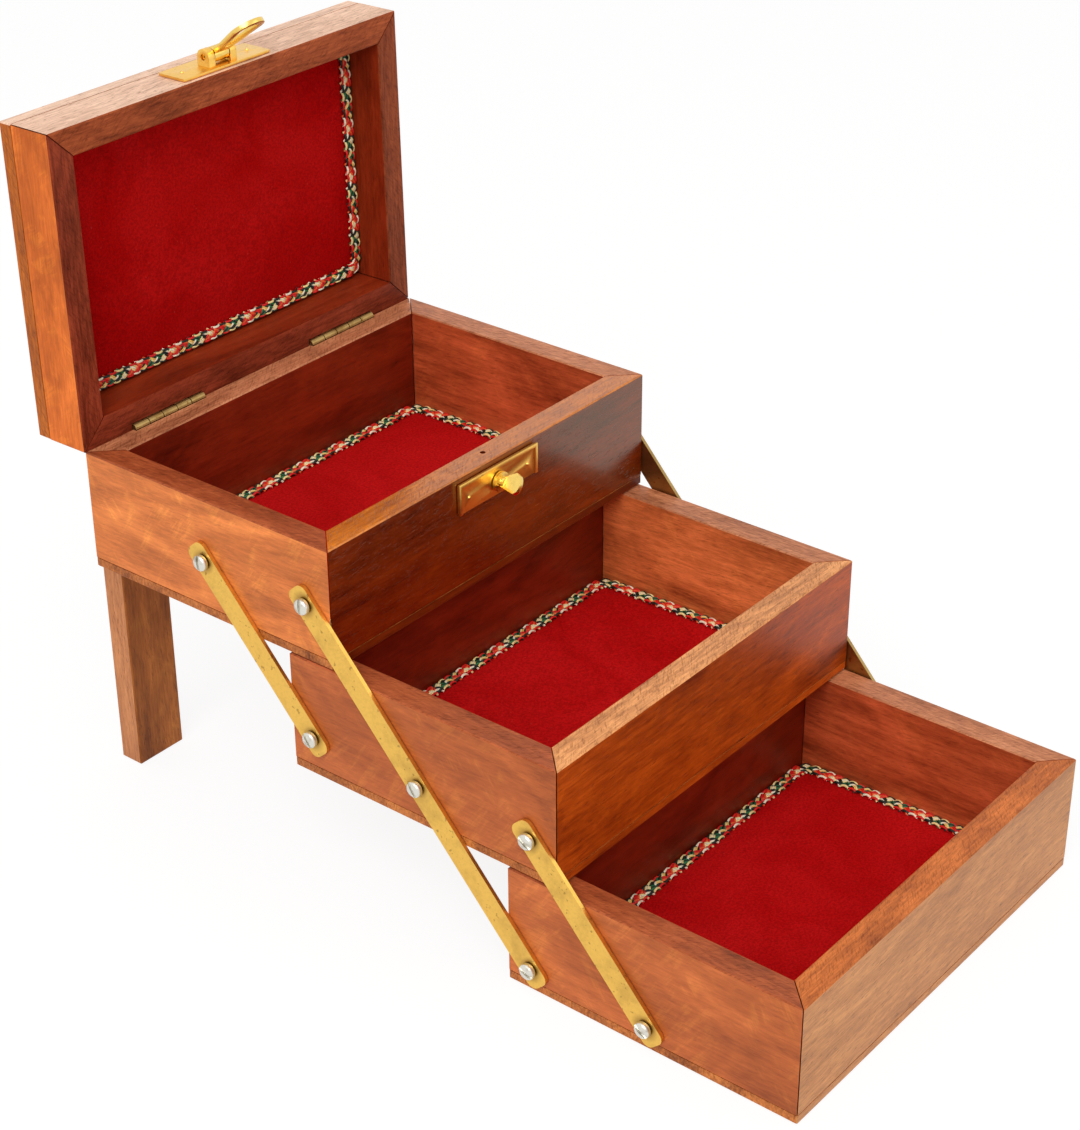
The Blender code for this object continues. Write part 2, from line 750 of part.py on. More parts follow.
long_link_axis = bottom_zero + Vector((0, back_pivot_y, bottom_pivot_height))
lower_link_axis = bottom_zero + Vector((0, middle_pivot_y, bottom_pivot_height))
middle_box_axis = middle_zero + Vector((0, middle_pivot_y, middle_pivot_height))
upper_link_axis = middle_zero + Vector((0, back_pivot_y, middle_pivot_height))
top_box_axis = top_zero + Vector((0, front_pivot_y, top_pivot_height))
lid_axis = top_zero + Vector((0, box_depth, box_height + lid_seam_gap / 2))
lid_zero = top_zero + Vector((0, 0, box_height + lid_seam_gap))

bottom_box = Body("bottom_box_body", bottom_zero, bottom_zero)
middle_box = Body("middle_box_body", middle_box_axis, middle_zero)
top_box = Body("top_box_body", top_box_axis, top_zero)
lid = Body("lid_body", lid_axis, lid_zero, -lid_open_angle)
long_links = Body("long_links_body", long_link_axis, long_link_axis)
lower_links = Body("lower_links_body", lower_link_axis, lower_link_axis)
upper_links = Body("upper_links_body", upper_link_axis, upper_link_axis)

bottom_walls = add_box(bottom_box, "bottom_box")
middle_walls = add_box(middle_box, "middle_box")
top_walls = add_box(top_box, "top_box")
lid_rails = add_lid(lid)
add_legs(top_box)

bottom_screws = {"middle": middle_pivot_y, "back": back_pivot_y}
middle_screws = {"front": front_pivot_y, "middle": middle_pivot_y, "back": back_pivot_y}
top_screws = {"front": front_pivot_y, "middle": middle_pivot_y}
add_screws(bottom_box, "bottom_box", bottom_walls, bottom_pivot_height, bottom_screws)
add_screws(middle_box, "middle_box", middle_walls, middle_pivot_height, middle_screws)
add_screws(top_box, "top_box", top_walls, top_pivot_height, top_screws)

for link_side in ("left", "right"):
    add_link(long_links, "long_link", link_side, 2)
    add_link(lower_links, "lower_link", link_side, 1)
    add_link(upper_links, "upper_link", link_side, 1)

add_hinges(top_box, top_walls["back"], lid, lid_rails["back"])

catch_middle_z = add_catch(top_box, top_walls["front"])
turn_axis = top_zero + Vector((0, 0, catch_middle_z))
thumb_turn = Body("thumb_turn_body", turn_axis, turn_axis)
add_thumb_turn(thumb_turn)

loop_axis = add_hasp_plate(lid)
loop = Body("hasp_loop_body", loop_axis, loop_axis, math.pi / 2 - loop_raised_angle, lid)
add_loop(loop)
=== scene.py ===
"""Looks of a wooden jewelry box: three lined boxes on brass links, a lid, a hasp and two legs."""

import json
import math

import bmesh
import bpy
from bpy.props import FloatProperty, FloatVectorProperty, IntProperty, PointerProperty
from mathutils import Matrix, Vector, noise


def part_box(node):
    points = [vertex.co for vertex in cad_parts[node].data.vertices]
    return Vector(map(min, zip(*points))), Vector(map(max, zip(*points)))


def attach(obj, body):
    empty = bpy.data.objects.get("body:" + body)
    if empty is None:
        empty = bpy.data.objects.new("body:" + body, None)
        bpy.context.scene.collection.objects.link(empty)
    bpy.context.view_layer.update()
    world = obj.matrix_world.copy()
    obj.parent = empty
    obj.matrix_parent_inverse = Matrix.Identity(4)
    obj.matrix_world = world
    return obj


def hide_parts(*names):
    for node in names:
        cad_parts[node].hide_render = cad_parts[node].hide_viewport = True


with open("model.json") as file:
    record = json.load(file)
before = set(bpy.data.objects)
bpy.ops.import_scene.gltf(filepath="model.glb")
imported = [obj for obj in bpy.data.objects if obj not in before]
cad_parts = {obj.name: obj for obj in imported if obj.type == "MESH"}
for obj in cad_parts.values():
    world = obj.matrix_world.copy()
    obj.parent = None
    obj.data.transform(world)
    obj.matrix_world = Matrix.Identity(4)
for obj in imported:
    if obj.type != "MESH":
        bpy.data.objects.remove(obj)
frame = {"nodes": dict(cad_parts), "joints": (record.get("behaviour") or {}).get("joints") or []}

bl_info = {
    "name": "Swing-Out Jewelry Box",
    "version": (1, 0, 0),
    "blender": (4, 5, 0),
    "location": "View3D > Sidebar > Jewelry Box",
    "description": "Dresses a three-tier jewelry box in wood, velvet, braid and brass",
    "category": "Add Mesh",
}

BOXES = ("bottom_box", "middle_box", "top_box")
TO_LEFT, TO_RIGHT = Vector((-1, 0, 0)), Vector((1, 0, 0))
TO_FRONT, TO_BACK = Vector((0, -1, 0)), Vector((0, 1, 0))
UP, DOWN = Vector((0, 0, 1)), Vector((0, 0, -1))
# How far the open lid is turned from shut, and how far apart the two pivots on a box's side are.
LID_TILT = math.radians(-91.0)
LINK_SPACING = 0.0415
MERGE_DISTANCE = 1e-6


def colour(name, description, value):
    """A colour setting, in linear values."""
    return FloatVectorProperty(
        name=name, description=description, default=value, subtype="COLOR", size=3, min=0.0, max=1.0
    )


def length(name, description, value):
    """A length setting, in metres."""
    return FloatProperty(name=name, description=description, default=value, unit="LENGTH", precision=5)


def angle(name, description, degrees):
    """An angle setting."""
    return FloatProperty(
        name=name, description=description, default=math.radians(degrees), subtype="ANGLE"
    )


class JEWELBOX_PG_wood(bpy.types.PropertyGroup):
    """Tones of the hardwood, one for each face. Besides the wood's colour, each tone holds painted light and
    shade, so the faces of one board differ more than the wood itself does.
    """

    # The pale bottom front is partly painted light and a painted reflection.
    bottom_front: colour("Bottom Front", "Front of the bottom box", (0.5953, 0.2416, 0.0797))
    middle_front: colour("Middle Front", "Front of the middle box", (0.4232, 0.0597, 0.0032))
    top_front: colour("Top Front", "Front of the top box", (0.1599, 0.0168, 0.0008))
    bottom_side: colour("Bottom Sides", "Sides of the bottom box", (0.5109, 0.119, 0.0297))
    middle_side: colour("Middle Sides", "Sides of the middle box", (0.4721, 0.1068, 0.0259))
    top_side: colour("Top Sides", "Sides of the top box", (0.7096, 0.1906, 0.0436))
    box_back: colour("Backs", "Backs of the boxes and of the lid", (0.42, 0.105, 0.036))
    bottom_rim: colour("Bottom Rim", "Front rim of the bottom box", (0.5658, 0.1418, 0.0292))
    middle_rim: colour("Middle Rim", "Front rim of the middle box", (0.8015, 0.3265, 0.1116))
    top_rim: colour("Top Rim", "Front rim of the top box", (0.5992, 0.1505, 0.007))
    left_rim: colour("Left Rims", "Rims of the left walls", (0.3942, 0.0838, 0.0258))
    right_rim: colour("Right Rims", "Rims of the right and back walls", (0.5456, 0.194, 0.086))
    inside_side: colour("Inner Sides", "Inner faces of the side walls", (0.4935, 0.0846, 0.025))
    inside_middle: colour(
        "Middle Inner Sides", "Inner faces of the middle box's side walls", (0.70, 0.17, 0.046)
    )
    inside_front: colour(
        "Inner Front and Back", "Inner faces of the front and back walls", (0.1979, 0.0155, 0.0036)
    )
    # The pale lid front is partly painted light from above and a painted reflection.
    lid_front: colour("Lid Front", "Front rail of the lid", (0.8907, 0.5666, 0.3981))
    lid_side: colour("Lid Sides", "Side rails of the lid", (0.7186, 0.1579, 0.0261))
    lid_edge: colour("Lid Panel", "Edge of the lid's panel", (0.4695, 0.1046, 0.0041))
    lid_top: colour("Lid Top", "Outside of the lid's panel", (0.55, 0.140, 0.045))
    lid_inside: colour("Lid Inside", "Inner faces of the lid's rails", (0.2484, 0.0254, 0.0059))
    seam_left: colour("Left Seam", "Seam face of the lid's left and back rails", (0.2449, 0.0353, 0.0136))
    seam_right: colour("Right Seam", "Seam face of the lid's right rail", (0.2685, 0.0548, 0.0193))
    seam_front: colour("Front Seam", "Seam face of the lid's front rail", (0.3377, 0.0677, 0.0204))
    band_rose: colour("Base Band", "Edge of each box's base", (0.4929, 0.1439, 0.0317))
    leg_side: colour("Leg Sides", "Smooth sides of the legs", (0.5733, 0.2156, 0.0829))
    leg_front: colour("Leg Fronts", "Front faces of the legs", (0.3496, 0.1027, 0.0211))
    pore_dark: colour("Pore", "Darkening of open pores and saw marks", (0.42, 0.32, 0.27))


class JEWELBOX_PG_lining(bpy.types.PropertyGroup):
    """Velvet and braid."""

    velvet: colour("Velvet", "Pile of the tray floors", (0.5433, 0.0027, 0.0035))
    lid_velvet: colour("Lid Velvet", "Pile of the lid's lining", (0.4578, 0.0008, 0.0008))
    nap_height: length("Nap Height", "Height of the soft unevenness of the velvet", 0.00012)
    edge_fall: length("Edge Fall", "How far the velvet falls at its edge", 0.0006)
    lobe_pitch: length("Lobe Pitch", "Distance between two lobes of a row", 0.00285)
    lobe_length: length("Lobe Length", "Length of one lobe", 0.0035)
    thread_radius: length("Thread Radius", "Thickest radius of a thread", 0.00040)
    thread_gap: length("Thread Gap", "Distance between two threads of a lobe", 0.00060)
    lobe_lean: angle("Lobe Lean", "Angle of a lobe to the braid", 33.0)
    row_offset: length("Row Offset", "How far each row lies from the braid's middle", 0.00055)
    edge_offset: length("Edge Offset", "How far each edge cord lies from the braid's middle", 0.0017)
    braid_inset: length("Braid Inset", "How far the braid's middle lies from the velvet's edge", 0.0021)
    braid_lift: length("Braid Lift", "Height of the braid's middle over the velvet card's middle", 0.00155)
    braid_corner: length("Braid Corner", "Radius of the braid's turn at a corner", 0.0035)
    seed: IntProperty(name="Seed", description="Seed of the small unevenness", default=7)


class JEWELBOX_PG_metal(bpy.types.PropertyGroup):
    """Brass and nickel."""

    brass: colour("Brass", "Polished turn and loop", (0.90, 0.62, 0.16))
    link_brass: colour("Link Brass", "Satin brass of the left links", (0.86, 0.52, 0.105))
    plate_brass: colour("Plate Brass", "Satin plates of the catch and hasp", (0.92, 0.56, 0.125))
    # For the right links this darkness is painted shade, as they stand in shadow; for the hinges it is
    # tarnish.
    aged_and_shaded_brass: colour("Aged Brass", "Dulled brass of the hinges and the right links", (0.42, 0.28, 0.10))
    # Also the colour of the painted shadows round the screw heads and of the painted shade on the right
    # links.
    tarnish_and_shade: colour("Tarnish", "Dull brown film on the brass", (0.25, 0.13, 0.035))
    nickel: colour("Nickel", "Screw heads", (0.72, 0.70, 0.63))
    screw_steps: IntProperty(name="Screw Steps", description="Sides of a screw head", default=32)
    head_height: length("Head Height", "Height of a screw's head", 0.0020)
    slot_width: length("Slot Width", "Width of a screw's slot", 0.0010)
    slot_depth: length("Slot Depth", "Depth of a screw's slot", 0.0007)


class JEWELBOX_PG_stage(bpy.types.PropertyGroup):
    """Floor, light and camera."""

    floor_size: length("Floor Size", "Side of the square floor", 8.0)
    camera_place: FloatVectorProperty(
        name="Camera Place", description="Where the photograph was taken from", unit="LENGTH",
        default=(-0.51376, -0.31645, 0.46506),
    )
    camera_yaw: angle("Camera Yaw", "Turn from the back towards the right", 51.08)
    camera_pitch: angle("Camera Pitch", "Tilt above the horizon", -29.66)
    camera_roll: angle("Camera Roll", "Turn about the view", -0.36)
    focal_length: FloatProperty(
        name="Focal Length", description="On a 36 mm high sensor", default=78.87, subtype="DISTANCE_CAMERA"
    )
    key_power: FloatProperty(name="Key", description="Light from the left, in watts", default=24.0)
    fill_power: FloatProperty(name="Fill", description="Light from the front right, in watts", default=5.0)
    top_power: FloatProperty(name="Top", description="Light from above, in watts", default=3.0)
    world_strength: FloatProperty(name="World", description="Strength of the even light", default=0.45)


def placed_object(name, data):
    """A new object of the scene that carries the data."""
    obj = bpy.data.objects.new(name, data)
    bpy.context.scene.collection.objects.link(obj)
    return obj


def built_mesh(build, name):
    """The edited mesh as a plain mesh."""
    mesh = bpy.data.meshes.new(name)
    build.to_mesh(mesh)
    build.free()
    return mesh


def taken_mesh(source, name):
    """The source object's finished mesh, after its modifiers. The source is removed."""
    bpy.context.view_layer.update()
    graph = bpy.context.evaluated_depsgraph_get()
    mesh = bpy.data.meshes.new_from_object(
        source.evaluated_get(graph), preserve_all_data_layers=True, depsgraph=graph
    )
    mesh.name = name
    bpy.data.objects.remove(source)
    return mesh


def paint(mesh, material):
    """Give the mesh this material alone."""
    mesh.materials.clear()
    mesh.materials.append(material)


def dress(node, material):
    """Give a CAD node its finished material."""
    paint(frame["nodes"][node].data, material)


def new_piece(name, mesh, body, nodes):
    """Make the mesh a piece of the body that stands for the nodes."""
    obj = placed_object(name, mesh)
    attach(obj, body)
    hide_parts(*nodes)
    return obj


def shaded(tone, share):
    """The tone, darker or lighter by the share."""
    return tuple(share * value for value in tone)


class Nodes:
    """Short ways to add nodes to a tree."""

    def __init__(self, tree):
        self.nodes, self.links = tree.nodes, tree.links

    def fill(self, node, inputs):
        """Set or link each named or numbered input of the node."""
        for key, value in inputs.items():
            socket = node.inputs[key if isinstance(key, int) else key.replace("_", " ")]
            if isinstance(value, bpy.types.NodeSocket):
                self.links.new(value, socket)
            elif socket.type == "RGBA" and len(value) == 3:
                socket.default_value = (*value, 1.0)
            else:
                socket.default_value = value

    def add(self, kind, inputs=None, **settings):
        """A new node with its settings and inputs."""
        node = self.nodes.new(kind)
        for key, value in settings.items():
            setattr(node, key, value)
        self.fill(node, inputs or {})
        return node

    def math(self, operation, first, second=0.0, third=0.0):
        """A Math node's result."""
        return self.add("ShaderNodeMath", {0: first, 1: second, 2: third}, operation=operation).outputs[0]

    def seen_rays(self):
        """1 for what the camera sees, also by a reflection or through glass."""
        rays = self.add("ShaderNodeLightPath").outputs
        seen = self.math("MAXIMUM", rays["Is Camera Ray"], rays["Is Glossy Ray"])
        return self.math("MAXIMUM", seen, rays["Is Transmission Ray"])


class Shader(Nodes):
    """One procedural material, and short ways to make its pattern."""

    def __init__(self, name, **surface):
        self.material = bpy.data.materials.new(name)
        self.material.use_nodes = True
        super().__init__(self.material.node_tree)
        self.surface = self.nodes["Principled BSDF"]
        self.place = self.add("ShaderNodeTexCoord").outputs
        self.fill(self.surface, surface)

    def noise(self, scale, turn=(0, 0, 0), shift=(0, 0, 0), detail=3.0, roughness=0.55, distortion=0.0):
        """A noise value from 0 to 1, in object coordinates moved, turned and then stretched."""
        place = {"Vector": self.place["Object"], "Location": shift, "Rotation": turn}
        place = self.add("ShaderNodeMapping", place).outputs[0]
        stretch = scale if isinstance(scale, tuple) else (scale, scale, scale)
        place = self.add("ShaderNodeMapping", {"Vector": place, "Scale": stretch}).outputs[0]
        return self.add("ShaderNodeTexNoise", {
            "Vector": place, "Scale": 1.0, "Detail": detail, "Roughness": roughness,
            "Distortion": distortion,
        }).outputs[0]

    def fade(self, value, low, high, start=0.0, end=1.0):
        """The value's place between low and high, as start to end, eased."""
        return self.add(
            "ShaderNodeMapRange",
            {"Value": value, "From Min": low, "From Max": high, "To Min": start, "To Max": end},
            interpolation_type="SMOOTHSTEP",
        ).outputs[0]

    def mix(self, factor, first, second, blend="MIX"):
        """Two colours mixed."""
        return self.add(
            "ShaderNodeMix", {0: factor, 6: first, 7: second}, data_type="RGBA", blend_type=blend
        ).outputs[2]

    def blend(self, factor, first, second):
        """Two values mixed."""
        return self.math("MULTIPLY_ADD", factor, self.math("SUBTRACT", second, first), first)

    def facing(self, direction):
        """1 on the faces that look along the direction."""
        dot = self.add(
            "ShaderNodeVectorMath", {0: self.place["Normal"], 1: tuple(direction)}, operation="DOT_PRODUCT"
        ).outputs["Value"]
        return self.fade(dot, low=0.55, high=0.65)

    def finish(self, colour_value, roughness, height, distance, strength):
        """Link colour, roughness and bump to the surface."""
        bump = self.add("ShaderNodeBump", {"Height": height, "Distance": distance, "Strength": strength})
        self.fill(
            self.surface, {"Base Color": colour_value, "Roughness": roughness, "Normal": bump.outputs[0]}
        )
        return self.material


class NodeTree(Nodes):
    """A geometry node tree with named inputs, and short ways to turn and number what it makes."""

    def __init__(self, name, inputs):
        self.tree = bpy.data.node_groups.new(name, "GeometryNodeTree")
        super().__init__(self.tree)
        sockets = self.tree.interface
        sockets.new_socket("Geometry", in_out="INPUT", socket_type="NodeSocketGeometry")
        self.identifiers = {}
        for title, kind in inputs.items():
            socket = sockets.new_socket(title, in_out="INPUT", socket_type=f"NodeSocket{kind}")
            self.identifiers[title] = socket.identifier
        sockets.new_socket("Geometry", in_out="OUTPUT", socket_type="NodeSocketGeometry")
        self.given = self.add("NodeGroupInput").outputs

    def vector(self, operation, first, second=(0, 0, 0), **more):
        """A Vector Math node's result."""
        node = self.add("ShaderNodeVectorMath", {0: first, 1: second, **more}, operation=operation)
        return node.outputs[0]

    def random(self, reach):
        """A random value up to the reach on both sides of zero."""
        node = self.add(
            "FunctionNodeRandomValue", {"Min": -reach, "Max": reach, "Seed": self.given["Seed"]},
            data_type="FLOAT",
        )
        return next(socket for socket in node.outputs if socket.enabled)

    def aligned(self, direction):
        """The level rotation that lays X along the direction."""
        return self.add(
            "FunctionNodeAlignRotationToVector", {"Vector": direction}, axis="X", pivot_axis="Z"
        ).outputs[0]

    def turned(self, rotation, axis, amount):
        """The rotation with a turn about its own axis of this number put first."""
        own = self.add("ShaderNodeCombineXYZ", {axis: amount}).outputs[0]
        own = self.add("FunctionNodeEulerToRotation", {0: own}).outputs[0]
        return self.add(
            "FunctionNodeRotateRotation", {0: rotation, 1: own}, rotation_space="LOCAL"
        ).outputs[0]

    def numbered(self, geometry, number, domain="INSTANCE"):
        """The geometry with its thread numbers, which choose the colours."""
        return self.add(
            "GeometryNodeStoreNamedAttribute", {"Geometry": geometry, "Name": "thread", "Value": number},
            data_type="FLOAT", domain=domain,
        ).outputs[0]

    def close(self, geometry, material):
        """Realize the instances, set the material and end the tree."""
        real = self.add("GeometryNodeRealizeInstances", {0: geometry}).outputs[0]
        painted = self.add("GeometryNodeSetMaterial", {"Geometry": real, "Material": material}).outputs[0]
        self.add("NodeGroupOutput", {0: painted})

    def run(self, path_mesh, values, name):
        """The mesh that the tree makes from the path."""
        source = placed_object(name, path_mesh)
        modifier = source.modifiers.new("form", "NODES")
        modifier.node_group = self.tree
        for title, value in values.items():
            modifier[self.identifiers[title]] = value
        return taken_mesh(source, name)


GRAIN_AXES = {"X": TO_RIGHT, "Y": TO_BACK, "Z": UP}
# Shares of the clouds, the lines, the fibre, the pores, the saw ticks and the ripple in each finish.
FINISHES = {
    "pale": (0.50, 0.18, 0.60, 0.85, 0.0, 0.0),
    "front": (1.10, 0.50, 0.70, 0.80, 0.0, 0.30),
    "glossy": (1.20, 0.60, 0.65, 0.60, 0.0, 0.35),
    "silky": (0.85, 0.15, 0.40, 0.30, 0.0, 0.55),
    "sawn": (0.75, 0.25, 0.90, 0.40, 0.60, 0.0),
    "inside": (1.10, 0.45, 0.60, 0.55, 0.0, 0.30),
    "dusty": (1.00, 0.45, 1.00, 0.70, 0.45, 0.0),
}
# Roughness, coat weight, coat roughness and specular level of each board's varnish.
VARNISHES = {
    "bottom_box": (0.44, 0.10, 0.35, 0.28),
    "middle_box": (0.38, 0.12, 0.30, 0.28),
    "top_box": (0.24, 0.20, 0.14, 1.0),
    "back": (0.40, 0.08, 0.35, 0.28),
    "side": (0.42, 0.08, 0.35, 0.28),
    "base": (0.45, 0.06, 0.30, 0.28),
    "rail": (0.48, 0.02, 0.40, 0.14),
    "panel": (0.42, 0.06, 0.30, 0.28),
    "leg": (0.50, 0.06, 0.30, 0.28),
}
WARM_SHINE = (1.0, 0.72, 0.45)
# Stretch of each layer along the grain, across it in the face, and into the board.
CLOUD, LINES, FIBRE = (17, 48, 48), (10, 260, 260), (150, 1250, 1250)
PATCHES, BANDS, STROKES = (70, 45, 45), (55, 230, 230), (260, 1750, 700)
PORES, SAW_TICKS = (290, 2300, 2300), (320, 1900, 900)
PORE_SWING = math.radians(9.0)
TICK_SWING = math.radians(38.0)
RIPPLE_SWING = math.radians(55.0)
RIPPLE_LIGHT = (1.32, 1.62, 1.40)
GRAIN_DARK, GRAIN_LIGHT = (0.36, 0.25, 0.20), (1.65, 1.90, 2.05)
# Where a board with seed 1 lies in the pattern.
SEED_SHIFT = (0.37, 0.11, 0.23)
BASE_SEED, RAIL_SEED, PANEL_SEED, LEG_SEED = 20, 30, 41, 50


def grain_turn(grain, normal, swing=0.0):
    """The turn that lays X along the grain, swung within the face, and Z along the face's normal."""
    across = normal.cross(grain)
    along = math.cos(swing) * grain + math.sin(swing) * across
    return tuple(Matrix((along, normal.cross(along), normal)).to_euler())


def board_face(shader, grain, normal, seed, tone, finish):
    """Colour, relief and dullness of one face of a board."""
    mottle, streak, fine, pores, ticks, ripple = FINISHES[finish]
    dark = bpy.context.scene.jewelbox_wood.pore_dark
    shift = tuple(seed * part for part in SEED_SHIFT)

    def layer(stretch, swing=0.0, **settings):
        """A noise that follows the grain, swung within the face."""
        return shader.noise(stretch, grain_turn(grain, normal, swing), shift, **settings)

    cloud = layer(CLOUD, detail=4, roughness=0.58, distortion=1.3)
    lines = layer(LINES, roughness=0.6, distortion=0.5)
    fibre = layer(FIBRE, roughness=0.7)
    value = 0.5 * (1.0 - mottle - streak - fine)
    for pattern, share in ((cloud, mottle), (lines, streak), (fibre, fine)):
        value = shader.math("MULTIPLY_ADD", pattern, share, value)
    shade = shader.add("ShaderNodeValToRGB", {0: value})
    stops = shade.color_ramp.elements
    stops[0].position, stops[0].color = 0.15, (*GRAIN_DARK, 1)
    stops[1].position, stops[1].color = 0.85, (*GRAIN_LIGHT, 1)
    stops.new(0.50).color = (1, 1, 1, 1)
    colour_value = shader.mix(1.0, tone, shade.outputs[0], "MULTIPLY")
    if ripple:
        patch = layer(PATCHES, detail=2, distortion=0.6)
        for swing, low, high in ((RIPPLE_SWING, 0.48, 0.64), (-RIPPLE_SWING, 0.46, 0.34)):
            bands = layer(BANDS, swing, detail=2, distortion=0.8)
            strokes = layer(STROKES, swing, detail=2, roughness=0.6)
            waves = shader.fade(shader.blend(0.35, bands, strokes), low=0.45, high=0.60)
            waves = shader.math("MULTIPLY", waves, shader.fade(patch, low, high, end=ripple))
            colour_value = shader.mix(waves, colour_value, RIPPLE_LIGHT, "MULTIPLY")
    pore = layer(PORES, PORE_SWING, detail=2, roughness=0.6)
    pore = shader.fade(pore, low=0.58, high=0.72, end=pores)
    colour_value = shader.mix(pore, colour_value, dark, "MULTIPLY")
    height = shader.math("SUBTRACT", shader.math("MULTIPLY", fibre, 0.35), pore)
    rough = shader.math("MULTIPLY", fibre, 0.16)
    if ticks:
        cuts = layer(SAW_TICKS, TICK_SWING, detail=2, roughness=0.65)
        cuts = shader.fade(cuts, low=0.50, high=0.68, end=ticks)
        colour_value = shader.mix(cuts, colour_value, dark, "MULTIPLY")
        height = shader.math("MULTIPLY_ADD", cuts, -0.8, height)
        rough = shader.math("MULTIPLY_ADD", cuts, 0.2, rough)
    return colour_value, height, rough


def wood_material(name, grain, seed, faces, varnish):
    """Hardwood whose faces have their own looks, their tones holding painted light and shade. faces lists
    (direction, tone, finish), the rest first.
    """
    roughness, coat, coat_roughness, specular = VARNISHES[varnish]
    shader = Shader(
        name, Coat_Weight=coat, Coat_Roughness=coat_roughness, Specular_IOR_Level=specular,
        Specular_Tint=WARM_SHINE,
    )
    look = None
    for direction, tone, finish in faces:
        new_look = board_face(shader, GRAIN_AXES[grain], direction, seed, tone, finish)
        if look is None:
            look = new_look
            continue
        mask = shader.facing(direction)
        values = [shader.blend(mask, old, new) for old, new in zip(look[1:], new_look[1:])]
        look = (shader.mix(mask, look[0], new_look[0]), *values)
    colour_value, height, rough = look
    # The fibres add about 0.08 to the roughness.
    rough = shader.math("ADD", rough, roughness - 0.08)
    return shader.finish(colour_value, rough, height, distance=0.00012, strength=0.45)


class JEWELBOX_OT_wood(bpy.types.Operator):
    """Give every board its own hardwood, with sawn rims, insides darker partly by painted shade, and face
    tones that hold painted light and shade besides the wood's colour.
    """

    bl_idname = "jewelbox.wood"
    bl_label = "Wooden Boards"

    def execute(self, context):
        tone = context.scene.jewelbox_wood
        # Front, sides, front rim and inner sides of each box, and the finish of its front.
        looks = {
            "bottom_box": (tone.bottom_front, tone.bottom_side, tone.bottom_rim, tone.inside_side, "pale"),
            "middle_box": (tone.middle_front, tone.middle_side, tone.middle_rim, tone.inside_middle, "front"),
            "top_box": (tone.top_front, tone.top_side, tone.top_rim, tone.inside_side, "glossy"),
        }
        for number, (box, (front, side, rim, inner_side, figure)) in enumerate(looks.items()):
            # Way out, grain, outer finish and tone, inner tone, rim tone and varnish of each wall.
            walls = {
                "front": (TO_FRONT, "X", figure, front, tone.inside_front, rim, box),
                "back": (TO_BACK, "X", "front", tone.box_back, tone.inside_front, tone.right_rim, "back"),
                "left": (TO_LEFT, "Y", "silky", side, inner_side, tone.left_rim, "side"),
                "right": (TO_RIGHT, "Y", "silky", side, inner_side, tone.right_rim, "side"),
            }
            for index, (wall, look) in enumerate(walls.items()):
                outward, grain, finish, outer, inner, rim_tone, varnish = look
                seed = 3 * number + index + 1
                faces = [(outward, outer, finish), (-outward, inner, "inside"), (UP, rim_tone, "sawn")]
                dress(f"{box}_{wall}", wood_material(f"{box}_{wall}_wood", grain, seed, faces, varnish))
            faces = [
                (TO_LEFT, tone.band_rose, "dusty"), (TO_FRONT, front, figure), (DOWN, tone.box_back, "front"),
            ]
            dress(f"{box}_base", wood_material(f"{box}_base_wood", "X", BASE_SEED + number, faces, "base"))
        # Way out, outer tone, seam tone, grain and finish of each rail, as the open lid stands.
        rails = {
            "front": (UP, tone.lid_front, tone.seam_front, "X", "pale"),
            "back": (DOWN, tone.box_back, tone.seam_left, "X", "front"),
            "left": (TO_LEFT, tone.lid_side, tone.seam_left, "Z", "silky"),
            "right": (TO_RIGHT, tone.lid_side, tone.seam_right, "Z", "silky"),
        }
        for index, (rail, (outward, outer, seam, grain, finish)) in enumerate(rails.items()):
            faces = [
                (outward, outer, finish), (-outward, tone.lid_inside, "inside"), (TO_FRONT, seam, "dusty"),
            ]
            dress(f"lid_{rail}", wood_material(f"lid_{rail}_wood", grain, RAIL_SEED + index, faces, "rail"))
        faces = [
            (TO_LEFT, tone.lid_edge, "sawn"), (UP, tone.lid_front, "pale"), (TO_BACK, tone.lid_top, "front"),
        ]
        dress("lid_panel", wood_material("lid_panel_wood", "Z", PANEL_SEED, faces, "panel"))
        faces = [(TO_LEFT, tone.leg_side, "pale"), (TO_FRONT, tone.leg_front, "front")]
        for number, side in enumerate(("left", "right")):
            dress(f"leg_{side}", wood_material(f"leg_{side}_wood", "Z", LEG_SEED + number, faces, "leg"))
        return {"FINISHED"}


# A nap of this many waves to a metre, an edge that rounds off over this width, and the card's half height.
NAP_WAVES, EDGE_WIDTH, CARD_HALF = 55, 0.0022, 0.00075
VELVET_GRID = {"x_segments": 72, "y_segments": 46}


def lining_place(body):
    """Where a lining lies: its plane's place, and its half sizes."""
    low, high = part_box(f"{body}_velvet_pad")
    turn, half_y = Matrix.Identity(4), (high.y - low.y) / 2
    if body == "lid":
        turn = Matrix.Rotation(LID_TILT, 4, "X") @ Matrix.Rotation(math.pi, 4, "X")
        half_y = (high.z - low.z) / 2
    return Matrix.Translation((low + high) / 2) @ turn, (high.x - low.x) / 2, half_y


def velvet_material(name, tone):
    """Short crimson pile, mottled where the nap lies differently."""
    shader = Shader(
        name, Sheen_Weight=0.35, Sheen_Roughness=0.4, Sheen_Tint=(1.0, 0.06, 0.05), Specular_IOR_Level=0.05
    )
    nap = shader.noise(26, roughness=0.6, distortion=0.8)
    pile = shader.noise(1250, roughness=0.7)
    specks = shader.noise(900, detail=2)
    light = tuple(min(1.0, value + 0.004) for value in shaded(tone, 1.20))
    shade = shader.mix(shader.fade(nap, low=0.30, high=0.70), shaded(tone, 0.96), light)
    shade = shader.mix(shader.fade(pile, low=0.36, high=0.66, end=0.46), shade, shaded(tone, 0.30))
    shade = shader.mix(shader.fade(specks, low=0.70, high=0.78, end=0.12), shade, (0.75, 0.18, 0.14))
    rough = shader.fade(nap, low=0.30, high=0.70, start=0.95, end=0.82)
    return shader.finish(shade, rough, pile, distance=0.0003, strength=0.6)


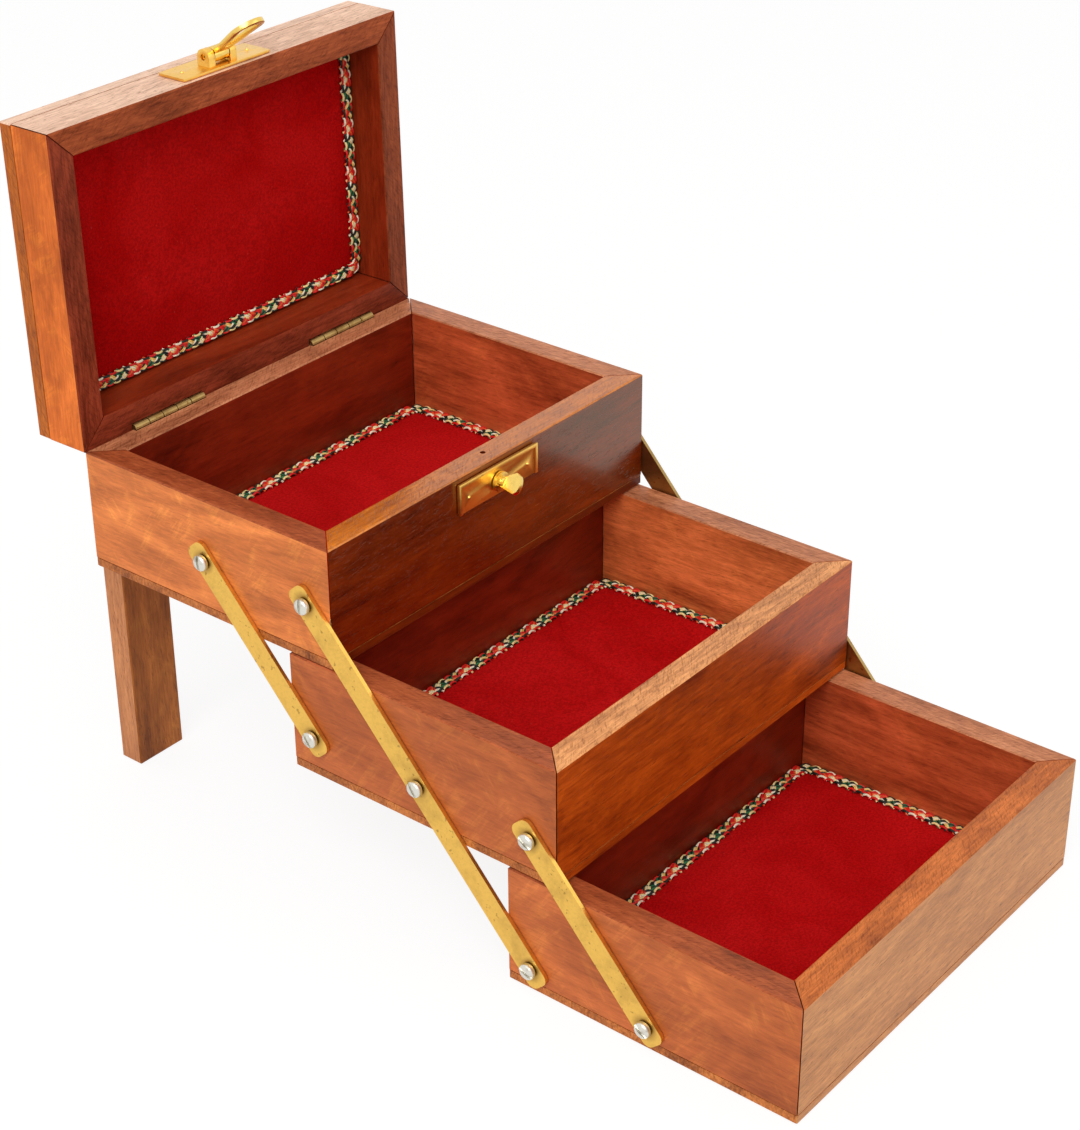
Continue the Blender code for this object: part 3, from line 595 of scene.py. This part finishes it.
def velvet_mesh(name, half_x, half_y, number, lining):
    """A level sheet over its card, slightly uneven and falling at the edge, closed below."""
    build = bmesh.new()
    bmesh.ops.create_grid(build, size=1.0, **VELVET_GRID)
    for vertex in build.verts:
        x, y = vertex.co.x * half_x, vertex.co.y * half_y
        rim = min(half_x - abs(x), half_y - abs(y))
        fall = lining.edge_fall * max(0.0, 1.0 - rim / EDGE_WIDTH) ** 2
        wave = noise.noise(Vector((x * NAP_WAVES, y * NAP_WAVES, 3.1 * number))) - 0.6
        vertex.co = Vector((x, y, CARD_HALF + lining.nap_height * wave - fall))
    edges = [edge for edge in build.edges if edge.is_boundary]
    for item in bmesh.ops.extrude_edge_only(build, edges=edges)["geom"]:
        if isinstance(item, bmesh.types.BMVert):
            item.co.z = -CARD_HALF
    bmesh.ops.contextual_create(build, geom=[edge for edge in build.edges if edge.is_boundary])
    bmesh.ops.recalc_face_normals(build, faces=build.faces)
    mesh = built_mesh(build, name)
    mesh.shade_smooth()
    return mesh


class JEWELBOX_OT_velvet(bpy.types.Operator):
    """Stretch a velvet sheet over the floor card of each box and of the lid."""

    bl_idname = "jewelbox.velvet"
    bl_label = "Velvet Linings"

    def execute(self, context):
        lining = context.scene.jewelbox_lining
        shades = dict.fromkeys(BOXES, velvet_material("crimson_velvet", lining.velvet))
        shades["lid"] = velvet_material("lid_velvet", lining.lid_velvet)
        for number, (body, material) in enumerate(shades.items()):
            place, half_x, half_y = lining_place(body)
            mesh = velvet_mesh(f"{body}_velvet", half_x, half_y, number, lining)
            mesh.transform(place)
            paint(mesh, material)
            obj = new_piece(f"{body}_velvet", mesh, body, [f"{body}_velvet_pad"])
        return {"FINISHED"}


# The braid's threads by colour: the strands of each lobe in turn, and those along its edge cords.
STRANDS = 3
LOBES = ("GDG", "DDW", "CWC", "ROR", "RRO", "CYD")
EDGE_CORD = "CDRWDR"
THREADS = "".join(LOBES) + EDGE_CORD
# The dark strip under the lobes takes the dark thread's colour, as painted shade in the gaps between the
# threads.
GAP_SHADE_THREAD = THREADS.index("D")
THREAD_TONES = {
    "C": (1.00, 0.80, 0.34), "G": (0.008, 0.17, 0.062), "D": (0.004, 0.014, 0.010), "W": (1.00, 0.94, 0.70),
    "Y": (1.00, 0.62, 0.14), "R": (0.78, 0.014, 0.012), "O": (0.95, 0.14, 0.030),
}
# Heights of a thread's ends and of the point that pulls up its middle, in thread radii.
THREAD_FOOT, THREAD_PULL = -1.2, 3.2
# Width of the dark strip under the lobes, painted shade in the gaps between them, in row offsets, and its
# height in thread radii.
GAP_SHADE_WIDTH, GAP_SHADE_HEIGHT = 4.4, 0.9
LEAN_SWING = 0.10
CORNER_STEPS = 8


def braid_material():
    """Threads of several colours, chosen by each thread's number."""
    shader = Shader("braid_threads", Specular_IOR_Level=0.35)
    number = shader.add("ShaderNodeAttribute", attribute_name="thread").outputs["Fac"]
    share = shader.math("DIVIDE", shader.math("ADD", number, 0.5), float(len(THREADS)))
    palette = shader.add("ShaderNodeValToRGB", {0: share})
    palette.color_ramp.interpolation = "CONSTANT"
    stops = palette.color_ramp.elements
    stops.remove(stops[1])
    for index, letter in enumerate(THREADS):
        stop = stops.new(index / len(THREADS)) if index else stops[0]
        stop.color = (*THREAD_TONES[letter], 1)
    fine = shader.noise(2600, detail=2)
    shadow = shader.fade(fine, low=0.42, high=0.72, end=0.25)
    tone = shader.mix(shadow, palette.outputs[0], (0.03, 0.02, 0.012))
    rough = shader.fade(fine, low=0.30, high=0.70, start=0.30, end=0.55)
    return shader.finish(tone, rough, fine, distance=0.0001, strength=0.5)


def arched_thread(tree):
    """One thread of a lobe, arched along X."""
    radius = tree.given["Thread Radius"]
    half = tree.math("MULTIPLY", tree.given["Lobe Length"], 0.5)
    foot = tree.math("MULTIPLY", radius, THREAD_FOOT)
    places = {
        "Start": {0: tree.math("MULTIPLY", half, -1.0), 2: foot},
        "Middle": {2: tree.math("MULTIPLY", radius, THREAD_PULL)},
        "End": {0: half, 2: foot},
    }
    line = tree.add("GeometryNodeCurveQuadraticBezier", {"Resolution": 7})
    for end, place in places.items():
        tree.fill(line, {end: tree.add("ShaderNodeCombineXYZ", place).outputs[0]})
    ring = tree.add("GeometryNodeCurvePrimitiveCircle", {"Resolution": 6, "Radius": radius})
    shape = tree.add("GeometryNodeCurveToMesh", {
        "Curve": line.outputs[0], "Profile Curve": ring.outputs[0], "Fill Caps": True,
    })
    return tree.add("GeometryNodeSetShadeSmooth", {0: shape.outputs[0]}).outputs[0]


def thread_row(tree, points, offset, thread, rotation, number):
    """A row of the thread at the points moved by the offset, each with its number."""
    moved = tree.add("GeometryNodeSetPosition", {"Geometry": points, "Offset": offset})
    row = tree.add("GeometryNodeInstanceOnPoints", {
        "Points": moved.outputs[0], "Instance": thread, "Rotation": rotation,
    })
    return tree.numbered(row.outputs[0], number)


def braid_tree():
    """Two rows of leaning lobes that cross in the middle, between two edge cords, along a closed path."""
    tree = NodeTree("braid", {
        "Pitch": "Float", "Lobe Length": "Float", "Thread Radius": "Float", "Thread Gap": "Float",
        "Lean": "Float", "Row Offset": "Float", "Edge Offset": "Float", "Seed": "Int", "Thread": "Material",
    })
    given = tree.given
    path = tree.add("GeometryNodeMeshToCurve", {0: given["Geometry"]}).outputs[0]
    thread = arched_thread(tree)
    strands = []
    for strand in range(STRANDS):
        aside = tree.math("MULTIPLY", given["Thread Gap"], strand - (STRANDS - 1) / 2)
        aside = tree.add("ShaderNodeCombineXYZ", {1: aside}).outputs[0]
        shape = tree.add("GeometryNodeTransform", {"Geometry": thread, "Translation": aside})
        strands.append(shape.outputs[0])
    index = tree.add("GeometryNodeInputIndex").outputs[0]
    cord_place = tree.math("MODULO", index, float(len(EDGE_CORD)))
    cord_number = tree.math("ADD", cord_place, float(STRANDS * len(LOBES)))
    pieces = []
    # The second row is one colour ahead, and each row a quarter of the pitch from the middle of both.
    for side, lobe_shift in ((1.0, 0.0), (-1.0, 1.0)):
        spread = {"Curve": path, "Length": given["Pitch"]}
        spread = tree.add("GeometryNodeCurveToPoints", spread, mode="LENGTH").outputs
        points, tangent = spread["Points"], spread["Tangent"]
        across = tree.vector("CROSS_PRODUCT", tuple(UP), tangent)
        ahead = tree.vector("SCALE", tangent, Scale=tree.math("MULTIPLY", given["Pitch"], 0.25 * side))
        row_offset, edge_offset = (
            tree.vector("ADD", ahead, tree.vector(
                "SCALE", across, Scale=tree.math("MULTIPLY", given[title], side)
            ))
            for title in ("Row Offset", "Edge Offset")
        )
        along = tree.aligned(tangent)
        lean = tree.math("MULTIPLY_ADD", given["Lean"], -side, tree.random(LEAN_SWING))
        leaning = tree.turned(along, 2, lean)
        lobe = tree.math("MODULO", tree.math("ADD", index, lobe_shift), float(len(LOBES)))
        pieces.append(thread_row(tree, points, edge_offset, thread, along, cord_number))
        for strand, shape in enumerate(strands):
            number = tree.math("MULTIPLY_ADD", lobe, float(STRANDS), float(strand))
            pieces.append(thread_row(tree, points, row_offset, shape, leaning, number))
    # A dark strip along the path under the lobes, painted shade in the gaps between the threads.
    profile = tree.add("GeometryNodeCurvePrimitiveQuadrilateral", {
        "Width": tree.math("MULTIPLY", given["Row Offset"], GAP_SHADE_WIDTH),
        "Height": tree.math("MULTIPLY", given["Thread Radius"], GAP_SHADE_HEIGHT),
    })
    gap_shade = tree.add("GeometryNodeCurveToMesh", {"Curve": path, "Profile Curve": profile.outputs[0]})
    pieces.append(tree.numbered(gap_shade.outputs[0], float(GAP_SHADE_THREAD), "POINT"))
    joined = tree.add("GeometryNodeJoinGeometry")
    for piece in pieces:
        tree.fill(joined, {0: piece})
    tree.close(joined.outputs[0], given["Thread"])
    return tree


def ring_mesh(half_x, half_y, radius, name):
    """A closed path round a rectangle with rounded corners, in the XY plane."""
    mesh = bpy.data.meshes.new(name)
    points = []
    for sign_x, sign_y, start in ((1, 1, 0), (-1, 1, 90), (-1, -1, 180), (1, -1, 270)):
        for step in range(CORNER_STEPS + 1):
            turn = math.radians(start + 90 * step / CORNER_STEPS)
            points.append((
                sign_x * (half_x - radius) + radius * math.cos(turn),
                sign_y * (half_y - radius) + radius * math.sin(turn), 0,
            ))
    edges = [(index, (index + 1) % len(points)) for index in range(len(points))]
    mesh.from_pydata(points, edges, [])
    return mesh


class JEWELBOX_OT_braid(bpy.types.Operator):
    """Lay a plaited braid of coloured threads round each lining."""

    bl_idname = "jewelbox.braid"
    bl_label = "Braid Edging"

    def execute(self, context):
        lining = context.scene.jewelbox_lining
        tree = braid_tree()
        values = {
            "Pitch": lining.lobe_pitch, "Lobe Length": lining.lobe_length,
            "Thread Radius": lining.thread_radius, "Thread Gap": lining.thread_gap,
            "Lean": lining.lobe_lean, "Row Offset": lining.row_offset, "Edge Offset": lining.edge_offset,
            "Seed": lining.seed, "Thread": braid_material(),
        }
        inset = lining.braid_inset
        for body in (*BOXES, "lid"):
            place, half_x, half_y = lining_place(body)
            path = ring_mesh(half_x - inset, half_y - inset, lining.braid_corner, f"{body}_braid_path")
            mesh = tree.run(path, values, f"{body}_braid_edging")
            mesh.transform(place @ Matrix.Translation((0, 0, lining.braid_lift)))
            new_piece(f"{body}_braid_edging", mesh, body, [f"{body}_braid"])
        return {"FINISHED"}


def rounded_copy(node, width):
    """A merged copy of a CAD node's mesh with its sharp edges rounded and its faces smooth."""
    build = bmesh.new()
    build.from_mesh(frame["nodes"][node].data)
    build.transform(frame["nodes"][node].matrix_world)
    bmesh.ops.remove_doubles(build, verts=build.verts, dist=MERGE_DISTANCE)
    bmesh.ops.dissolve_limit(build, angle_limit=math.radians(1), verts=build.verts, edges=build.edges)
    source = placed_object(f"{node}_source", built_mesh(build, f"{node}_source"))
    bevel = source.modifiers.new("rounding", "BEVEL")
    bevel.width, bevel.segments, bevel.use_clamp_overlap = width, 3, True
    bevel.limit_method, bevel.angle_limit = "ANGLE", math.radians(28)
    mesh = taken_mesh(source, f"{node}_rounded")
    mesh.shade_smooth()
    mesh.set_sharp_from_angle(angle=math.radians(50))
    return mesh


def brass_material(name, tone, roughness, stain_and_shade, shadow_ring_places=()):
    """Yellow brass with faint brushing and a dull film, and a painted shadow ring of that film round each
    given place.
    """
    tarnish_and_shade = bpy.context.scene.jewelbox_metal.tarnish_and_shade
    shader = Shader(name, Metallic=1.0)
    film = shader.noise(160, detail=5, roughness=0.65)
    brushed = shader.noise(900, detail=4, roughness=0.7)
    wide = shader.noise(45, roughness=0.6, distortion=0.6)
    dots = shader.noise(620, detail=1)
    amount = shader.fade(shader.blend(0.5, film, wide), low=0.46, high=0.68, end=stain_and_shade)
    # Painted shadow: a ring of the dull film round each given place, where a screw head stands on the link.
    for ring_place in shadow_ring_places:
        away = shader.add(
            "ShaderNodeVectorMath", {0: shader.place["Object"], 1: tuple(ring_place)}, operation="DISTANCE"
        ).outputs["Value"]
        away = shader.math("MULTIPLY_ADD", film, 0.002, away)
        ring_shadow = shader.fade(away, low=0.0030, high=0.0062, start=0.75, end=0.0)
        amount = shader.math("MAXIMUM", amount, ring_shadow)
    shade = shader.mix(amount, tone, tarnish_and_shade)
    shade = shader.mix(shader.fade(brushed, low=0.4, high=0.7, end=0.22), shade, shaded(tone, 0.6))
    shade = shader.mix(shader.fade(dots, low=0.68, high=0.74, end=1.6 * stain_and_shade), shade, tarnish_and_shade)
    rough = shader.math("MULTIPLY_ADD", film, 0.16, roughness - 0.08)
    return shader.finish(shade, rough, brushed, distance=0.00005, strength=0.25)


class JEWELBOX_OT_brass(bpy.types.Operator):
    """Give the links, hinges, plates, catch and hasp their brass."""

    bl_idname = "jewelbox.brass"
    bl_label = "Brass Fittings"

    def execute(self, context):
        metal = context.scene.jewelbox_metal
        pivots = {joint["name"]: Vector(joint["pos_m"]) for joint in frame["joints"]}
        step = LINK_SPACING * TO_BACK
        on_links = {
            "long_link": [pivots["tray_swing"], pivots["middle_box_pivot"], pivots["top_box_pivot"]],
            "lower_link": [pivots["lower_link_pivot"], pivots["middle_box_pivot"] - step],
            "upper_link": [pivots["upper_link_pivot"], pivots["top_box_pivot"] + step],
        }
        for link, places in on_links.items():
            # The right links get the darker brass and a heavier film as painted shade, since they stand in
            # shadow.
            for side, tone, stain_and_shade in (("left", metal.link_brass, 0.34), ("right", metal.aged_and_shaded_brass, 0.75)):
                node = f"{link}_{side}"
                low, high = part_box(node)
                outside = low.x if side == "left" else high.x
                # Places of the painted shadow rings round the screw heads on the link's outside.
                shadow_ring_places = [Vector((outside, place.y, place.z)) for place in places]
                dress(node, brass_material(f"{node}_brass", tone, 0.38, stain_and_shade, shadow_ring_places))
        satin = brass_material("plate_brass", metal.plate_brass, 0.32, 0.16)
        polished = brass_material("polished_brass", metal.brass, 0.24, 0.10)
        rounding = {
            "catch_plate": ("top_box", 0.00030, satin), "thumb_turn": ("thumb_turn", 0.00045, polished),
            "hasp_plate": ("lid", 0.00022, satin), "hasp_loop": ("hasp_loop", 0.00035, polished),
        }
        for node, (body, width, material) in rounding.items():
            mesh = rounded_copy(node, width)
            paint(mesh, material)
            new_piece(f"{node}_rounded", mesh, body, [node])
        dull = brass_material("hinge_brass", metal.aged_and_shaded_brass, 0.42, 0.95)
        for side in ("left", "right"):
            for node in ("box_hinge_leaf", "lid_hinge_leaf", "hinge_pin"):
                dress(f"{node}_{side}", dull)
        return {"FINISHED"}


# The dressed screw head against its solid, its rounded foot, and the shank that holds it.
HEAD_SHARE, HEAD_FOOT, SHANK_RADIUS, SHANK_PLAY = 0.90, 0.0002, 0.0014, 0.0002
FIRST_SCREW_SEED = 3
SCREW_SPIN = 1.5


def nickel_material():
    """Bright plated steel with fine scratches."""
    shader = Shader("nickel", Metallic=1.0)
    fine = shader.noise(1800, detail=4, roughness=0.7)
    film = shader.noise(350, detail=4)
    tone = bpy.context.scene.jewelbox_metal.nickel
    shade = shader.mix(shader.fade(film, low=0.50, high=0.72, end=0.55), tone, (0.30, 0.25, 0.16))
    rough = shader.fade(film, low=0.3, high=0.7, start=0.24, end=0.45)
    return shader.finish(shade, rough, fine, distance=0.00008, strength=0.4)


def screw_pattern(metal, radius, shank):
    """One slotted screw along +X, with its head's underside at the origin."""
    height = metal.head_height
    build = bmesh.new()
    outline = [
        (-shank, 0.0), (-shank, SHANK_RADIUS), (0.0, SHANK_RADIUS), (0.0, radius - HEAD_FOOT),
        (HEAD_FOOT, radius), (0.50 * height, radius), (0.72 * height, 0.96 * radius),
        (0.90 * height, 0.80 * radius), (height, 0.45 * radius), (height, 0.0),
    ]
    verts = [build.verts.new((x, 0.0, z)) for x, z in outline]
    edges = [build.edges.new(pair) for pair in zip(verts, verts[1:])]
    bmesh.ops.spin(
        build, geom=[*verts, *edges], cent=(0, 0, 0), axis=(1, 0, 0), angle=2 * math.pi,
        steps=metal.screw_steps, use_duplicate=False,
    )
    bmesh.ops.remove_doubles(build, verts=build.verts, dist=MERGE_DISTANCE)
    bmesh.ops.recalc_face_normals(build, faces=build.faces)
    screw = placed_object("plain_screw", built_mesh(build, "plain_screw"))
    build = bmesh.new()
    bmesh.ops.create_cube(build, size=1.0)
    size = Matrix.Diagonal((2 * metal.slot_depth, metal.slot_width, 4 * radius, 1))
    build.transform(Matrix.Translation((height, 0, 0)) @ size)
    cutter = placed_object("slot_cutter", built_mesh(build, "slot_cutter"))
    cut = screw.modifiers.new("slot", "BOOLEAN")
    cut.object, cut.operation, cut.solver = cutter, "DIFFERENCE", "EXACT"
    mesh = taken_mesh(screw, "slotted_screw")
    bpy.data.objects.remove(cutter)
    mesh.shade_smooth()
    mesh.set_sharp_from_angle(angle=math.radians(40))
    return placed_object("slotted_screw", mesh)


def screw_tree():
    """A screw on each point, turned outwards and about itself."""
    tree = NodeTree("screws", {"Screw": "Object", "Seed": "Int", "Metal": "Material"})
    points = tree.add("GeometryNodeMeshToPoints", {0: tree.given["Geometry"]})
    screw = tree.add("GeometryNodeObjectInfo", {0: tree.given["Screw"]})
    outward = tree.add("GeometryNodeInputNamedAttribute", {"Name": "outward"}, data_type="FLOAT_VECTOR")
    turn = tree.turned(tree.aligned(outward.outputs[0]), 0, tree.random(SCREW_SPIN))
    placed = tree.add("GeometryNodeInstanceOnPoints", {
        "Points": points.outputs[0], "Instance": screw.outputs["Geometry"], "Rotation": turn,
    })
    tree.close(placed.outputs[0], tree.given["Metal"])
    return tree


class JEWELBOX_OT_screws(bpy.types.Operator):
    """Set a slotted screw in each pivot of the links."""

    bl_idname = "jewelbox.screws"
    bl_label = "Slotted Screws"

    def execute(self, context):
        metal = context.scene.jewelbox_metal
        height = metal.head_height
        material = nickel_material()
        tree = screw_tree()
        for number, box in enumerate(BOXES):
            nodes = [name for name in frame["nodes"] if name.startswith(box) and "_screw_" in name]
            low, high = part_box(nodes[0])
            shank = high.x - low.x - height - SHANK_PLAY
            pattern = screw_pattern(metal, HEAD_SHARE * (high.z - low.z) / 2, shank)
            points, ways = [], []
            for node in nodes:
                low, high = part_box(node)
                sign, outer = (1.0, high.x) if high.x > 0 else (-1.0, low.x)
                points.append((outer - sign * height, (low.y + high.y) / 2, (low.z + high.z) / 2))
                ways.extend((sign, 0.0, 0.0))
            path = bpy.data.meshes.new(f"{box}_screw_places")
            path.from_pydata(points, [], [])
            path.attributes.new("outward", "FLOAT_VECTOR", "POINT").data.foreach_set("vector", ways)
            values = {"Screw": pattern, "Seed": FIRST_SCREW_SEED + number, "Metal": material}
            mesh = tree.run(path, values, f"{box}_screws")
            bpy.data.objects.remove(pattern)
            new_piece(f"{box}_screws", mesh, box, nodes)
        return {"FINISHED"}


FLOOR_DROP = 0.0002
SENSOR_SIZE = 36.0
OBJECT_MIDDLE = Vector((0, 0.08, 0.1))


def floor_material():
    """White to the camera but for the object's shadow."""
    shader = Shader("white_floor", Base_Color=(0.86, 0.86, 0.85), Roughness=0.9)
    share = shader.math("MULTIPLY", shader.seen_rays(), 0.80)
    glow = shader.add("ShaderNodeEmission", {"Color": (1, 1, 1), "Strength": 1.08})
    both = shader.add("ShaderNodeMixShader", {0: share, 1: shader.surface.outputs[0], 2: glow.outputs[0]})
    shader.fill(shader.nodes["Material Output"], {"Surface": both.outputs[0]})
    return shader.material


def soft_light(name, place, size, power):
    """A square soft light that looks at the object's middle."""
    lamp = bpy.data.lights.new(name, "AREA")
    lamp.size, lamp.energy = size, power
    obj = placed_object(name, lamp)
    obj.location = place
    obj.rotation_euler = (OBJECT_MIDDLE - Vector(place)).to_track_quat("-Z", "Y").to_euler()


def photo_camera(stage):
    """The photograph's camera."""
    data = bpy.data.cameras.new("camera")
    data.sensor_fit = "VERTICAL"
    data.sensor_height, data.sensor_width = SENSOR_SIZE, SENSOR_SIZE
    data.lens = stage.focal_length
    yaw, pitch, roll = stage.camera_yaw, stage.camera_pitch, stage.camera_roll
    ahead = Vector((
        math.sin(yaw) * math.cos(pitch), math.cos(yaw) * math.cos(pitch), math.sin(pitch)
    ))
    right = ahead.cross(UP).normalized()
    above = right.cross(ahead)
    side = math.cos(roll) * right + math.sin(roll) * above
    top = math.cos(roll) * above - math.sin(roll) * right
    camera = placed_object("camera", data)
    turn = Matrix((side, top, -ahead)).transposed().to_4x4()
    camera.matrix_world = Matrix.Translation(stage.camera_place) @ turn
    return camera


class JEWELBOX_OT_stage(bpy.types.Operator):
    """Lay the pale floor, light it softly and stand the camera where the photograph was taken."""

    bl_idname = "jewelbox.stage"
    bl_label = "Stage"

    def execute(self, context):
        scene, stage = context.scene, context.scene.jewelbox_stage
        half = stage.floor_size / 2
        corners = [(x * half, y * half, -FLOOR_DROP) for x, y in ((-1, -1), (1, -1), (1, 1), (-1, 1))]
        mesh = bpy.data.meshes.new("floor")
        mesh.from_pydata(corners, [], [(0, 1, 2, 3)])
        paint(mesh, floor_material())
        placed_object("floor", mesh)
        soft_light("key", (-1.3, -0.5, 1.5), 1.3, stage.key_power)
        soft_light("fill", (0.9, -1.6, 1.0), 1.6, stage.fill_power)
        soft_light("top", (0.1, 0.6, 1.9), 1.5, stage.top_power)
        world = bpy.data.worlds.new("studio")
        world.use_nodes = True
        scene.world = world
        sky = Nodes(world.node_tree)
        strength = sky.add("ShaderNodeMix", {0: sky.seen_rays(), 2: stage.world_strength, 3: 1.0})
        sky.fill(sky.nodes["Background"], {"Color": (1, 1, 1), "Strength": strength.outputs[0]})
        scene.camera = photo_camera(stage)
        scene.view_settings.view_transform = "Standard"
        return {"FINISHED"}


SETTINGS = {
    "jewelbox_wood": JEWELBOX_PG_wood,
    "jewelbox_lining": JEWELBOX_PG_lining,
    "jewelbox_metal": JEWELBOX_PG_metal,
    "jewelbox_stage": JEWELBOX_PG_stage,
}
OPERATORS = (
    JEWELBOX_OT_wood, JEWELBOX_OT_velvet, JEWELBOX_OT_braid, JEWELBOX_OT_brass, JEWELBOX_OT_screws,
    JEWELBOX_OT_stage,
)


class JEWELBOX_PT_panel(bpy.types.Panel):
    """Lists the pieces and their settings."""

    bl_label = "Jewelry Box"
    bl_space_type = "VIEW_3D"
    bl_region_type = "UI"
    bl_category = "Jewelry Box"

    def draw(self, context):
        for operator in OPERATORS:
            self.layout.operator(operator.bl_idname)
        for title in SETTINGS:
            settings = getattr(context.scene, title)
            box = self.layout.box()
            for name in settings.__annotations__:
                box.prop(settings, name)


def register():
    for group in (*SETTINGS.values(), *OPERATORS, JEWELBOX_PT_panel):
        bpy.utils.register_class(group)
    for name, group in SETTINGS.items():
        setattr(bpy.types.Scene, name, PointerProperty(type=group))


def unregister():
    for name in SETTINGS:
        delattr(bpy.types.Scene, name)
    for group in reversed((*SETTINGS.values(), *OPERATORS, JEWELBOX_PT_panel)):
        bpy.utils.unregister_class(group)


def main():
    """Dress the whole box."""
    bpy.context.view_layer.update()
    register()
    bpy.ops.jewelbox.wood()
    bpy.ops.jewelbox.velvet()
    bpy.ops.jewelbox.braid()
    bpy.ops.jewelbox.brass()
    bpy.ops.jewelbox.screws()
    bpy.ops.jewelbox.stage()


if __name__ == "__main__":
    main()
